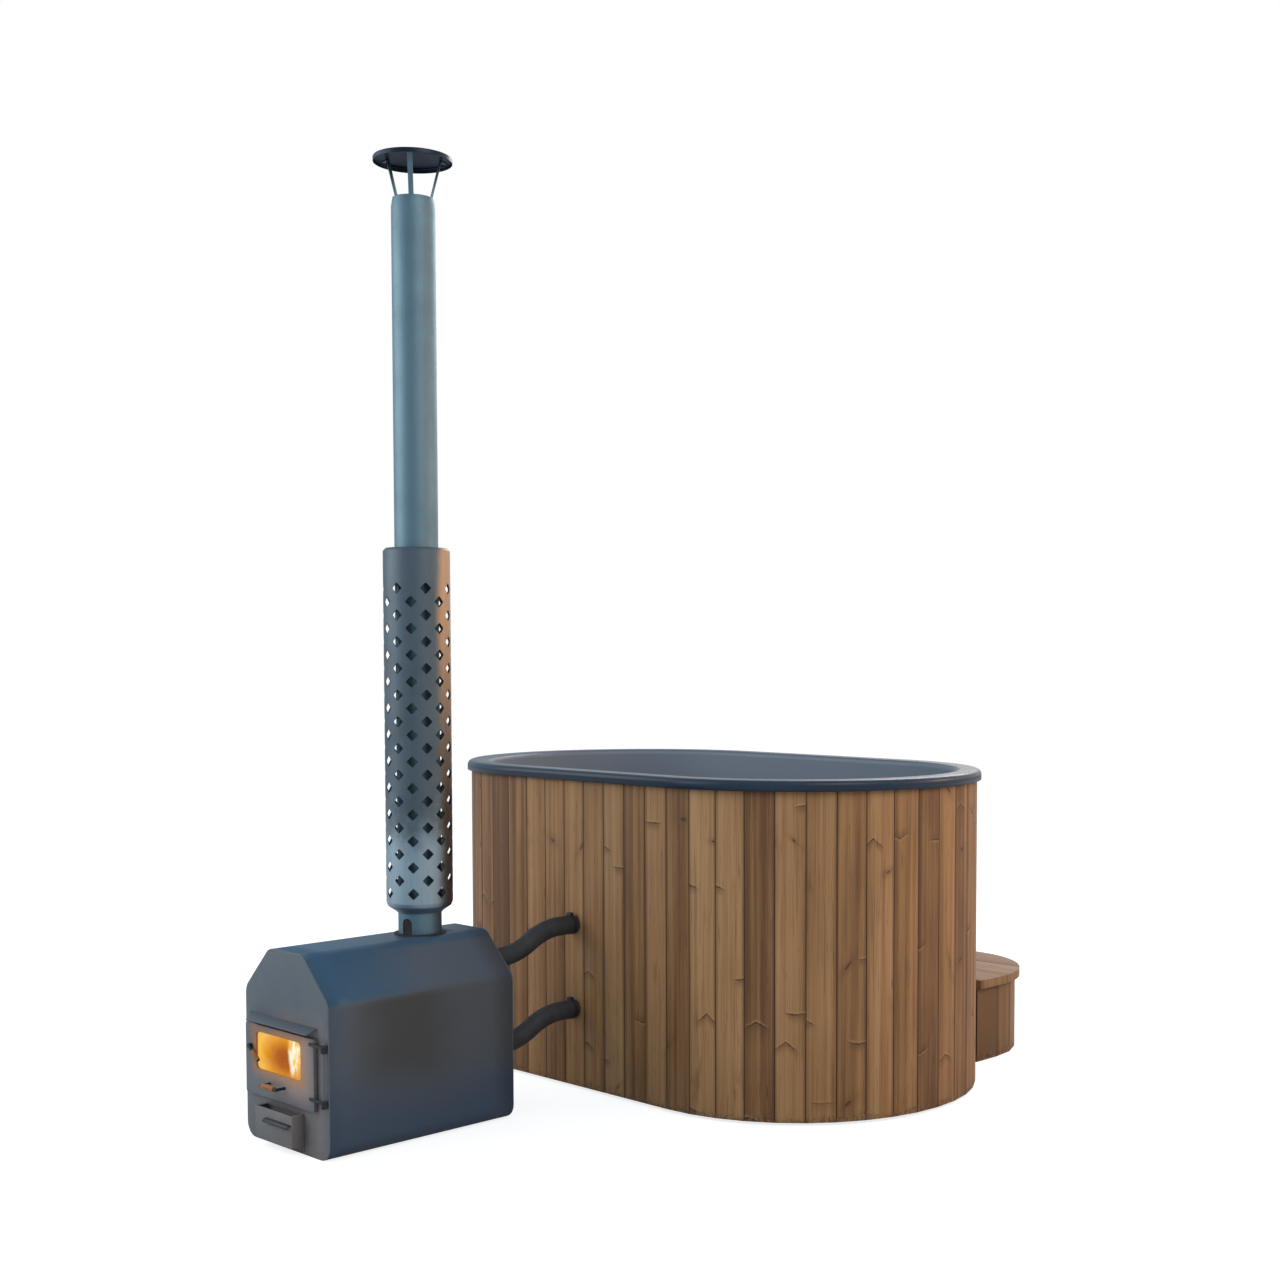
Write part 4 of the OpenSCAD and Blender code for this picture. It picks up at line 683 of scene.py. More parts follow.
def boardSection(width, mitre, thick, gap, tongue, withTongue=True):
    # one tongue and groove board seen from above: X points out of the wall, and the face is at X = 0
    y = width / 2 - gap / 2
    reach = tongue if withTongue else 0.0
    s0 = (thick - tongue) / 2
    s1 = s0 + tongue
    cosM, sinM = math.cos(mitre), math.sin(mitre)

    def lap(s, d):
        return (-s * cosM - d * sinM, y - s * sinM + d * cosM, 0)

    def slot(s, d):
        return (-s * cosM + d * sinM, -y + s * sinM + d * cosM, 0)
    deep = thick / cosM
    return [(0, -y, 0), (0, y, 0), lap(s0, 0), lap(s0, reach), lap(s1, reach), lap(s1, 0), lap(deep, 0),
            slot(deep, 0), slot(s1 + gap, 0), slot(s1 + gap, tongue + gap), slot(s0 - gap, tongue + gap),
            slot(s0 - gap, 0)]


def makeBoard(width, mitre, low, high, look, withTongue=True):
    bm = bmesh.new()
    section = boardSection(width, mitre, look["thick"], look["gap"], look["tongue"], withTongue)
    bm.faces.new([bm.verts.new(p) for p in section])
    pull(bm, (0, 0, high - low))
    bmesh.ops.translate(bm, vec=(0, 0, low), verts=bm.verts)
    arris = [e for e in bm.edges if all(abs(v.co.x) < 1e-6 for v in e.verts)]
    easeEdges(bm, arris, look["ease"], 2)
    return bm


def grainLayers(bm):
    return (bm.verts.layers.float_vector.new("boardPos"), bm.verts.layers.float.new("boardTone"),
            bm.verts.layers.float.new("boardSide"))


def grainShift(seed):
    # board coordinates in metres, across, in depth and along, are moved on so that no two boards are alike
    rnd = random.Random(seed)
    shift = Vector((rnd.uniform(-0.035, 0.035) + 3.0 * rnd.randrange(40), 0.0, rnd.uniform(0, 400)))
    return shift, rnd.choice((-1, 1))


def writeGrain(piece, boards):
    # each board is its place, width, seed and tone, and a vertex belongs to the nearest board
    bm = bmesh.new()
    bm.from_mesh(piece.data)
    pos, tint, side = grainLayers(bm)
    known = [(place.inverted(), width, *grainShift(seed), tone) for place, width, seed, tone in boards]
    for v in bm.verts:
        local, width, shift, flip, tone = min(((place @ v.co, *rest) for place, *rest in known),
                                             key=lambda b: abs(b[0].y) + 5 * max(0.0, abs(b[0].x) - 0.03))
        v[pos] = Vector((local.y, local.x, flip * local.z)) + shift
        v[side] = 2 * local.y / width
        v[tint] = tone
    bm.to_mesh(piece.data)
    bm.free()


def stavePlace(i):
    run = tub["perSide"] + tub["perEnd"]
    back, k = divmod(i, run)
    s = -1 if back else 1
    pitch = math.pi / tub["perEnd"]
    if k < tub["perSide"]:
        width = 2 * tub["halfStraight"] / tub["perSide"]
        return (s * (-tub["halfStraight"] + (k + 0.5) * width), -s * tub["endRadius"],
                math.radians(-90 + 180 * back), width, 0.0)
    a = -math.pi / 2 + (k - tub["perSide"] + 0.5) * pitch
    flat = tub["endRadius"] * math.cos(pitch / 2)
    return (s * (tub["halfStraight"] + flat * math.cos(a)), s * flat * math.sin(a), a + math.pi * back,
            2 * tub["endRadius"] * math.sin(pitch / 2), pitch / 2)


ports = {"x": -0.044375, "heights": (0.498, 0.243), "rise": 0.065, "hole": 0.02645, "linerHole": 0.0243,
         "drainX": -0.221875, "drainZ": 0.038, "drainHole": 0.0215, "linerDrain": 0.0203}
staveGroups = []
for half in (0, 1):
    first = half * (tub["perSide"] + tub["perEnd"])
    staveGroups.append(range(first, first + tub["perSide"]))
    ends = [first + tub["perSide"] + tub["perEnd"] * part // 3 for part in range(4)]
    staveGroups += [range(a, b) for a, b in zip(ends, ends[1:])]

for g, group in enumerate(staveGroups):
    boards, places = [], []
    for i in group:
        x, y, turn, width, mitre = stavePlace(i)
        # the left end's darker tones are painted shade
        span = tub["leftShadedTones"] if i >= tub["leftFrom"] else tub["otherTones"]
        tone = tub["tones"][i] if i < len(tub["tones"]) else random.Random(tub["toneSeed"] + i).uniform(*span)
        bm = makeBoard(width, mitre, tub["low"], tub["high"], tub)
        place = Matrix.Translation((x, y, 0)) @ Matrix.Rotation(turn, 4, "Z")
        bmesh.ops.transform(bm, matrix=place, verts=bm.verts)
        boards.append(bm)
        places.append((place, width, tub["grainSeed"] + i, tone))
    piece = addPiece(joined(boards), f"boards{g + 1}", paint["brownWood"],
                     stands=(f"staves_{g + 1}",), smooth=40)
    # the heater's side takes the two hoses, and the far side the drain
    middle, through = tub["endRadius"] - tub["thick"] / 2, 5 * tub["thick"]
    if g == 0:
        cut(piece, [joined([rod((ports["x"], -middle, z), ports["hole"], through, "Y")
                            for z in ports["heights"]])])
    if g == 4:
        cut(piece, [rod((ports["drainX"], middle, ports["drainZ"]), ports["drainHole"], through, "Y")])
    writeGrain(piece, places)
print("cladding boards made")


basin = {
    "wall": 0.484, "floor": 0.130, "floorRound": 0.070, "edge": 0.016, "top": 0.960, "rim": 0.5627,
    "roll": 0.015, "lip": 0.930, "shell": 0.006, "bench": 0.430, "seat": 0.460, "toe": 0.040,
    "nose": 0.040, "cove": 0.022, "skinLift": 0.0002, "clip": 0.0035, "endSteps": 72, "sideSteps": 4,
    # the cutters' reach along the tub and across it, the height they start at and how tall they are
    "pastEnd": 0.95, "pastSide": 0.60, "cutFrom": 0.05, "cutTall": 0.60,
    # how far the bench skins go before they are clipped: to the end, to the side and out from the toe
    "skinEnd": 0.86, "skinSide": 0.55, "skinToe": 0.01,
}


def sweepTub(bm):
    # the section starts in the plane x = halfStraight on the heater's side and goes once round
    half = tub["halfStraight"]
    edges = bm.edges[:]
    for way in (-1, 1):
        geom = pullEdges(bm, edges, (way * 2 * half, 0, 0), basin["sideSteps"])
        made = bmesh.ops.spin(bm, geom=geom, cent=(way * half, 0, 0), axis=(0, 0, 1), angle=-math.pi,
                              steps=basin["endSteps"])
        edges = onlyEdges(made["geom_last"])
    bmesh.ops.remove_doubles(bm, verts=bm.verts, dist=1e-5)
    bmesh.ops.recalc_face_normals(bm, faces=bm.faces)


def makeShell():
    b = basin
    half = tub["halfStraight"]
    section = [(half, 0, b["floor"]), (half, -0.25, b["floor"]), (half, -b["wall"], b["floor"]),
               (half, -b["wall"], b["seat"] + 0.10), (half, -b["wall"], b["top"]),
               (half, -b["rim"], b["top"]), (half, -b["rim"], b["lip"])]
    bm = drawLine(section, [0, 0, b["floorRound"], 0, b["edge"], b["roll"], 0], segments=9)
    sweepTub(bm)
    floorFace = min(bm.faces, key=lambda f: (f.calc_center_median() - Vector((0, 0, b["floor"]))).length)
    if floorFace.normal.z < 0:
        bmesh.ops.reverse_faces(bm, faces=bm.faces)
    shell = addPiece(bm, "linerShell", paint["linerGloss"], stands=("liner",), smooth=35)
    giveWall(shell, b["shell"])
    # under each bench the shell is open, and the bench's own folded skin takes over
    blocks = []
    for s in (-1, 1):
        near, beyond, side = s * (b["bench"] + b["shell"]), s * b["pastEnd"], -b["pastSide"]
        low, top = b["cutFrom"], b["seat"] - b["shell"]
        under = drawLine([(near, side, low), (near, side, top), (beyond, side, top), (beyond, side, low)],
                         [0, b["nose"] - b["shell"], 0, 0], closed=True)
        blocks.append(pull(fillOutline(under), (0, 2 * b["pastSide"], 0)))
    holes = [rod((ports["x"], -b["wall"], z), ports["linerHole"], 0.05, "Y") for z in ports["heights"]]
    holes.append(rod((ports["drainX"], 0, b["floor"]), ports["linerDrain"], 0.05, "Z"))
    cut(shell, [joined(blocks + holes)])


def makeBenches():
    b = basin
    half = tub["halfStraight"]
    # the foot of the skin lies a hair above the floor, so the two faces don't coincide
    foot = b["floor"] + b["skinLift"]
    sheets = []
    for s in (-1, 1):
        toe, front, end, side = b["bench"] - b["toe"] - b["skinToe"], b["bench"], b["skinEnd"], -b["skinSide"]
        sheet = drawLine([(s * toe, side, foot), (s * front, side, foot), (s * front, side, b["seat"]),
                          (s * end, side, b["seat"])], [0, b["toe"], b["nose"], 0], segments=9)
        pullEdges(sheet, sheet.edges[:], (0, 2 * b["skinSide"], 0))
        bmesh.ops.recalc_face_normals(sheet, faces=sheet.faces)
        top = max(sheet.faces, key=lambda f: f.calc_center_median().z)
        if top.normal.z < 0:
            bmesh.ops.reverse_faces(sheet, faces=sheet.faces)
        sheets.append(sheet)
    bench = addPiece(joined(sheets), "benches", paint["linerGloss"])
    giveWall(bench, b["shell"], even=False)
    # the basin's plan is a circle pulled apart, and it clips the benches inside the wall's thickness
    bm = bmesh.new()
    bmesh.ops.create_circle(bm, cap_ends=True, segments=144, radius=b["wall"] + b["clip"],
                            matrix=Matrix.Translation((half, 0, b["cutFrom"])))
    bmesh.ops.translate(bm, vec=(-2 * half, 0, 0), verts=[v for v in bm.verts if v.co.x < half - 1e-4])
    pull(bm, (0, 0, b["cutTall"]))
    cut(bench, [bm], "INTERSECT")
    smoothByAngle(bench.data, 35)


def makeCoves():
    # hollow strips where the benches meet the wall
    b = basin
    half = tub["halfStraight"]
    corner = math.acos((b["bench"] + b["nose"] - half) / b["wall"])
    strips = []
    for s in (-1, 1):
        wall = s * half + b["wall"]
        strip = drawLine([(wall, 0, b["seat"] + b["cove"]), (wall, 0, b["seat"]),
                          (wall - b["cove"], 0, b["seat"])], [0, b["cove"] * 0.999, 0], segments=6)
        turn = Matrix.Rotation(-corner + (0 if s > 0 else math.pi), 3, "Z")
        bmesh.ops.rotate(strip, cent=(s * half, 0, 0), matrix=turn, verts=strip.verts)
        bmesh.ops.spin(strip, geom=strip.verts[:] + strip.edges[:], cent=(s * half, 0, 0), axis=(0, 0, 1),
                       angle=2 * corner, steps=60)
        bmesh.ops.remove_doubles(strip, verts=strip.verts, dist=1e-6)
        strips.append(strip)
    coves = joined(strips)
    for face in coves.faces:
        face.normal_update()
        if face.normal.z < 0:
            face.normal_flip()
    addPiece(coves, "benchCoves", paint["linerGloss"], smooth=60)


makeShell()
makeBenches()
makeCoves()
print("liner made")


hose = {"outer": 0.028, "bore": 0.024, "start": -0.887, "end": -0.553, "tail": 0.052, "ease": 0.0012,
        "around": 40, "tailSteps": 4, "bendSteps": 10}


def makeHose(name, height, stands):
    # a straight tail at each end, and two arcs that meet half way
    h = hose
    run = h["end"] - h["start"] - 2 * h["tail"]
    tilt = 2 * math.atan(ports["rise"] / run)
    bend = run / 2 / math.sin(tilt)
    z0 = height - ports["rise"]
    bm = bmesh.new()
    turn = Matrix.Translation((ports["x"], h["start"], z0)) @ Matrix.Rotation(math.pi / 2, 4, "X")
    for radius in (h["outer"], h["bore"]):
        bmesh.ops.create_circle(bm, segments=h["around"], radius=radius, matrix=turn)

    def bent(geom, cent, angle):
        made = bmesh.ops.spin(bm, geom=geom, cent=cent, axis=(1, 0, 0), angle=angle,
                              steps=h["bendSteps"])
        return [g for g in made["geom_last"] if not isinstance(g, bmesh.types.BMFace)]
    geom = pullEdges(bm, bm.edges[:], (0, h["tail"], 0), h["tailSteps"])
    geom = bent(geom, (ports["x"], h["start"] + h["tail"], z0 + bend), tilt)
    geom = bent(geom, (ports["x"], h["end"] - h["tail"], height - bend), -tilt)
    pullEdges(bm, onlyEdges(geom), (0, h["tail"], 0), h["tailSteps"])
    bmesh.ops.remove_doubles(bm, verts=bm.verts, dist=1e-6)
    for end in (h["start"], h["end"]):
        rim = [e for e in bm.edges if e.is_boundary and abs(e.verts[0].co.y - end) < 1e-5]
        bmesh.ops.bridge_loops(bm, edges=rim)
    bmesh.ops.recalc_face_normals(bm, faces=bm.faces)
    rims = [e for e in bm.edges if e.calc_face_angle(0) > 1.0]
    bmesh.ops.bevel(bm, geom=rims, offset=h["ease"], offset_type="OFFSET", segments=2, profile=0.5,
                    affect="EDGES", material=-1)
    addPiece(bm, name, paint["hoseRubber"], stands=(stands,), smooth=50)


makeHose("hoseUpper", ports["heights"][0], "upper_hose")
makeHose("hoseLower", ports["heights"][1], "lower_hose")
softCopy("hose_clamps", paint["blackSteel"], edge=0.0003)
print("hoses made")


heater = {"x": -0.110375, "half": 0.200, "height": 0.525, "shoulder": 0.408, "top": 0.080, "fold": 0.044,
          "heel": 0.040, "sheet": 0.003, "front": -1.486, "back": -0.894, "lengths": 8, "flueY": -1.060,
          "flueHole": 0.0585, "strapsFrom": -1.5023, "knucklesFrom": 0.1515}


def makeJacket():
    h = heater
    corners = [(-h["half"], 0), (h["half"], 0), (h["half"], h["shoulder"]), (h["top"], h["height"]),
               (-h["top"], h["height"]), (-h["half"], h["shoulder"])]
    bm = drawLine([(h["x"] + x, h["front"], z) for x, z in corners],
                  [h["heel"], h["heel"]] + [h["fold"]] * 4, closed=True, segments=8)
    pullEdges(bm, bm.edges[:], (0, h["back"] - h["front"], 0), h["lengths"])
    bmesh.ops.recalc_face_normals(bm, faces=bm.faces)
    side = max(bm.faces, key=lambda f: f.calc_center_median().x)
    if side.normal.x < 0:
        bmesh.ops.reverse_faces(bm, faces=bm.faces)
    jacket = addPiece(bm, "jacket", paint["heaterPaint"], stands=("heater_jacket",),
                      smooth=40)
    giveWall(jacket, h["sheet"])
    cut(jacket, [rod((h["x"], h["flueY"], h["height"]), h["flueHole"], 0.05, "Z", 64)])


makeJacket()
softCopy("heater_front", paint["frontPaint"], edge=0.0012, segments=3)
softCopy("heater_rear", paint["heaterPaint"], edge=0.0012, segments=3)
softCopy("door_hood", paint["heaterPaint"], edge=0.0008)
softCopy("hinge_brackets", paint["blackSteel"], edge=0.0006)
softCopy("hinge_rod", paint["frontPaint"], edge=0.0005)
door = softCopy("door", paint["doorPaint"], body="fire_door", edge=0.0010, segments=3)
# the two straps and their knuckles stand proud of the panel and are black
door.data.materials.append(paint["blackSteel"])
for face in door.data.polygons:
    if face.center.y < heater["strapsFrom"] or face.center.x > heater["x"] + heater["knucklesFrom"]:
        face.material_index = 1
softCopy("pull_bracket", paint["blackSteel"], body="fire_door", edge=0.0006)
softCopy("latch_lever", paint["blackSteel"], body="latch", edge=0.0010, segments=3)
softCopy("latch_tongue", paint["blackSteel"], body="latch", edge=0.0006)
softCopy("ash_drawer", paint["frontPaint"], body="ash_tray", edge=0.0007)
softCopy("ash_handle", paint["blackSteel"], body="ash_tray", edge=0.0006)
dress(paint["fireSteel"], "firebox", "grate", "glass_retainer", "flue_collar")
dress(paint["sealRubber"], "door_seal", "spigot_gaskets")
dress(paint["stainless"], "heater_spigots", "tub_spigots", "spigot_nuts")
softCopy("port_grilles", paint["stainless"], edge=0.0005)
softCopy("drain_strainer", paint["stainless"], edge=0.0005)
print("heater made")


flue = {"radius": 0.060, "sheet": 0.0015, "foot": 0.528, "joint": 1.528, "top": 2.558, "drawnIn": 0.004,
        "swage": 0.025, "socket": 0.050, "notchTurn": -72, "notchWide": 0.030, "notchTall": 0.030}
guard = {"radius": 0.092, "sheet": 0.002, "low": 0.617, "high": 1.592, "firstRow": 0.645, "pitch": 0.0366,
         "rows": 24, "perRow": 7, "start": -46.2, "across": 0.0165, "corner": 0.0030, "footDeep": 0.032,
         "ringGap": 0.0003, "ringSheet": 0.002}
cap = {"radius": 0.108, "z": 2.662, "rise": 0.030, "edge": 0.013, "sheet": 0.0015}
flueAt = (heater["x"], heater["flueY"])


def makeLowerFlue():
    f = flue
    r, w = f["radius"], f["sheet"]
    section = [(r - w, f["foot"]), (r, f["foot"]), (r, f["joint"]), (r - w, f["joint"])]
    pipe = addPiece(lathe(section, flueAt), "lowerFlue", paint["flueSteel"],
                    stands=("lower_flue",), smooth=40)
    half = f["notchWide"] / 2
    low, high = f["foot"] - 0.01, f["foot"] + f["notchTall"] + half - 0.001
    arch = drawLine([(0.02, -half, low), (0.02, half, low), (0.02, half, high), (0.02, -half, high)],
                    [0, 0, half * 0.999, half * 0.999], closed=True, segments=8)
    pull(fillOutline(arch), (0.06, 0, 0))
    turn = Matrix.Rotation(math.radians(f["notchTurn"]), 4, "Z")
    bmesh.ops.transform(arch, matrix=Matrix.Translation((*flueAt, 0)) @ turn, verts=arch.verts)
    cut(pipe, [arch])
    roundNormals(pipe, (r, r - w))


def roundNormals(obj, radii):
    # normals on the pipe's round point straight out from its axis, so that the cuts don't shade it
    mesh = obj.data
    smoothByAngle(mesh, 30)
    normals = [Vector(n.vector) for n in mesh.corner_normals]
    for face in mesh.polygons:
        if abs(face.normal.z) > 0.02:
            continue
        flat = [Vector((mesh.vertices[v].co.x - flueAt[0], mesh.vertices[v].co.y - flueAt[1], 0))
                for v in face.vertices]
        if not any(all(abs(v.length - r) < 0.0004 for v in flat) for r in radii):
            continue
        way = 1 if face.normal.dot(flat[0]) > 0 else -1
        for loop, v in zip(face.loop_indices, flat):
            normals[loop] = v.normalized() * way
    mesh.normals_split_custom_set(normals)


def makeUpperFlue():
    f = flue
    r, w, j = f["radius"], f["sheet"], f["joint"]
    inner = r - w
    # the foot is a sleeve inside the lower pipe, and the top is drawn in a little
    section = [(inner - 0.0002, j - f["socket"]), (inner - 0.0002, j + 0.0003), (r, j + 0.0003),
               (r, f["top"] - f["swage"]), (r - f["drawnIn"], f["top"]), (inner - f["drawnIn"], f["top"]),
               (inner, f["top"] - f["swage"]), (inner, j + 0.012), (inner - w, j + 0.003),
               (inner - w, j - f["socket"])]
    pipe = lathe(section, flueAt, [0, 0, 0, 0.02, 0.0004, 0.0004, 0.02, 0, 0, 0])
    addPiece(pipe, "upperFlue", paint["flueSteel"], stands=("upper_flue",), smooth=40)


def makeGuard():
    g = guard
    r, w = g["radius"], g["sheet"]
    sheet = lathe([(r - w, g["low"]), (r, g["low"]), (r, g["high"]), (r - w, g["high"])], flueAt, steps=112)
    tube = addPiece(sheet, "guard", paint["guardSteel"], stands=("flue_guard",))
    punch = bmesh.new()
    start, wide = r - 0.012, g["across"]
    diamond = drawLine([(start, -wide, 0), (start, 0, -wide), (start, wide, 0), (start, 0, wide)],
                       [g["corner"]] * 4, closed=True, segments=3)
    pull(fillOutline(diamond), (0.02, 0, 0))
    mesh = bpy.data.meshes.new("diamond")
    diamond.to_mesh(mesh)
    diamond.free()
    for row in range(g["rows"]):
        lift = Matrix.Translation((*flueAt, g["firstRow"] + row * g["pitch"]))
        for k in range(g["perRow"]):
            turn = math.radians(g["start"] + (k + (row % 2) / 2) * 360 / g["perRow"])
            one = mesh.copy()
            one.transform(lift @ Matrix.Rotation(turn, 4, "Z"))
            punch.from_mesh(one)
            bpy.data.meshes.remove(one)
    cut(tube, [punch])
    roundNormals(tube, (r, r - w))


def makeRings():
    # the ring that closes the guard's head and the funnel under its foot, both round the pipe
    r, w, gap = guard["radius"], guard["sheet"], guard["ringGap"]
    inner = flue["radius"] + gap
    # each ring's skirt stands inside the guard's sheet
    skirt, bore = r - w - gap, r - w - gap - guard["ringSheet"]
    topRing = [(inner, -0.008), (inner, 0.008), (r - 0.008, 0.008), (r, 0), (skirt, 0), (skirt, -0.008),
               (bore, -0.008), (bore, 0.002), (r - 0.009, 0.006), (inner + 0.002, 0.006),
               (inner + 0.002, -0.008)]
    deep = guard["footDeep"]
    footRing = [(r, 0), (r - 0.004, -deep * 0.4), (inner + w + 0.004, -deep * 0.85), (inner + w, -deep),
                (inner, -deep), (inner, -deep * 0.75), (r - 0.004 - w, -deep * 0.25), (bore, 0),
                (bore, 0.009), (skirt, 0.009), (skirt, 0)]
    top = lathe([(a, z + guard["high"]) for a, z in topRing], flueAt, [0, 0.0006, 0.003, 0.001] + [0] * 7)
    foot = lathe([(a, z + guard["low"]) for a, z in footRing], flueAt, [0.0004, 0.010, 0.010] + [0] * 8)
    addPiece(top, "guardTop", paint["guardSteel"], stands=("guard_top_ring",), smooth=45)
    addPiece(foot, "guardFoot", paint["guardSteel"], stands=("guard_foot_ring",), smooth=45)


def makeCap():
    c = cap
    inside, low, high = c["radius"] - c["sheet"], c["z"] - c["edge"] / 2, c["z"] + c["edge"] / 2
    section = [(0, c["z"] + c["rise"] - c["sheet"]), (0, c["z"] + c["rise"]), (c["radius"], high),
               (c["radius"], low), (inside, low), (inside, high - c["sheet"])]
    roof = lathe(section, flueAt, [0, 0, 0.004, 0.0005, 0.0005, 0.003])
    addPiece(roof, "rainCap", paint["capSteel"], stands=("rain_cap",), smooth=35)


makeLowerFlue()
makeUpperFlue()
makeGuard()
makeRings()
makeCap()
softCopy("cap_struts", paint["flueSteel"], edge=0.0005)
print("flue made")


grip = {"pullFrom": 0.1423, "pullTo": 0.2003, "pullY": -1.528, "pullZ": 0.165, "pullRadius": 0.0085,
        "pullBore": 0.0042, "latchX": -0.264375, "latchY": -1.5095, "latchZ": 0.254, "latchRadius": 0.0065,
        "latchFrom": 0.020, "latchLength": 0.037, "latchBore": 0.0048, "tilt": 35, "ends": 0.84,
        "tone": 0.4, "pullSeed": 5, "latchSeed": 6}
heaterLeft = heater["x"] - heater["half"]


def turnedGrip(length, radius, bore, seed, place):
    # a slightly barrelled stick, turned along X and bored through
    end = radius * grip["ends"]
    section = [(0, 0, bore), (0, 0, end), (length * 0.5, 0, radius), (length, 0, end), (length, 0, bore)]
    bm = drawLine(section, [0, 0.0015, length * 0.9, 0.0015, 0], closed=True, segments=6)
    bmesh.ops.spin(bm, geom=bm.verts[:] + bm.edges[:], cent=(0, 0, 0), axis=(1, 0, 0), angle=2 * math.pi,
                   steps=32, use_merge=True)
    bmesh.ops.remove_doubles(bm, verts=bm.verts, dist=1e-6)
    bmesh.ops.recalc_face_normals(bm, faces=bm.faces)
    pos, tint, _ = grainLayers(bm)
    shift, _ = grainShift(seed)
    for v in bm.verts:
        v[pos] = Vector((v.co.y, 0, v.co.x)) + shift
        v[tint] = grip["tone"]
    bmesh.ops.transform(bm, matrix=place, verts=bm.verts)
    return bm


g = grip
pullPlace = Matrix.Translation((heaterLeft + g["pullFrom"], g["pullY"], g["pullZ"]))
pullStick = turnedGrip(g["pullTo"] - g["pullFrom"], g["pullRadius"], g["pullBore"], g["pullSeed"],
                       pullPlace)
addPiece(pullStick, "pullGrip", paint["gripWood"], body="fire_door", stands=("pull_grip",),
         smooth=50)
latchTurn = Matrix.Rotation(math.radians(g["tilt"]), 4, "Y") @ Matrix.Translation((g["latchFrom"], 0, 0))
latchPlace = Matrix.Translation((g["latchX"], g["latchY"], g["latchZ"])) @ latchTurn
latchStick = turnedGrip(g["latchLength"], g["latchRadius"], g["latchBore"], g["latchSeed"], latchPlace)
addPiece(latchStick, "latchGrip", paint["gripWood"], body="latch", stands=("latch_grip",),
         smooth=50)


def glassShader():
    # the fire's glow, painted on the ceramic glass as its own light: deep orange in the middle, nearly white
    # where flames stand
    mat, tree, bsdf = newShader("fireGlass")
    place = objectPlace(tree)
    right, _, height = apart(tree, place)
    u = calc(tree, "SUBTRACT", right, window["x"] - window["half"])
    u = calc(tree, "DIVIDE", u, 2 * window["half"])
    v = calc(tree, "SUBTRACT", height, window["z"] - window["tall"] / 2)
    v = calc(tree, "DIVIDE", v, window["tall"])
    lick = noise(tree, scaled(tree, place, (20, 1, 14)), 1.0, 4.0, 0.6)
    sway = calc(tree, "SUBTRACT", lick, 0.5)
    du = calc(tree, "MULTIPLY", calc(tree, "SUBTRACT", u, 0.60), 1.75)
    dv = calc(tree, "MULTIPLY", calc(tree, "SUBTRACT", v, 0.45), 1.35)
    fromHeart = calc(tree, "SQRT", calc(tree, "MULTIPLY_ADD", du, du, calc(tree, "MULTIPLY", dv, dv)))
    fromHeart = calc(tree, "MULTIPLY_ADD", sway, 0.40, fromHeart)
    glow = ramp(tree, fromHeart, [(0.0, fromSrgb(158, 76, 4)), (0.30, fromSrgb(168, 86, 5)),
                                  (0.46, fromSrgb(190, 112, 10)), (0.66, fromSrgb(212, 138, 26)),
                                  (0.86, fromSrgb(226, 162, 50)), (1.0, fromSrgb(234, 180, 78))])
    # tall flames stand on the hinge side
    flameSide = calc(tree, "MULTIPLY_ADD", sway, 0.16, u)
    flame = calc(tree, "MULTIPLY", remap(tree, flameSide, 0.68, 0.76), remap(tree, flameSide, 0.98, 0.90))
    flame = calc(tree, "MULTIPLY", flame, remap(tree, calc(tree, "MULTIPLY_ADD", sway, 0.5, v), 0.02, 0.30))
    hot = remap(tree, noise(tree, scaled(tree, place, (60, 1, 30)), 1.0, 3.0), 0.40, 0.58)
    hot = blendColour(tree, hot, fromSrgb(244, 184, 80), fromSrgb(253, 240, 212))
    glow = blendColour(tree, flame, glow, hot)
    spark = remap(tree, noise(tree, place, 260.0, 2.0), 0.60, 0.70)
    glow = blendColour(tree, calc(tree, "MULTIPLY", spark, 0.12), glow, fromSrgb(250, 214, 130))
    plug(tree, blendColour(tree, 0.85, glow, (0.01, 0.006, 0.004, 1)), bsdf.inputs["Base Color"])
    plug(tree, glow, bsdf.inputs["Emission Color"])
    bsdf.inputs["Emission Strength"].default_value = 1.0
    plug(tree, remap(tree, lick, 0.3, 0.7, 0.10, 0.20), bsdf.inputs["Roughness"])
    bsdf.inputs["Specular IOR Level"].default_value = 0.06
    return mat


paint["fireGlass"] = glassShader()
softCopy("door_glass", paint["fireGlass"], body="fire_door", edge=0.0004)
print("grips and glass made")


step = {"x": 0.330, "back": 0.5503, "half": 0.3249, "skirtHalf": 0.310, "straight": 0.110, "depth": 0.435,
        "low": 0.0, "high": 0.237, "ends": 11, "thick": 0.020, "gap": 0.0006, "ease": 0.0016,
        "tongue": 0.006, "tread": 0.028, "boards": 3, "boardGap": 0.004, "round": 0.003,
        "treadTones": (0.45, 0.30, 0.55), "treadSeed": 8, "skirtTones": (0.35, 0.75), "toneSeed": 40,
        "grainSeed": 300, "roundSteps": 64}


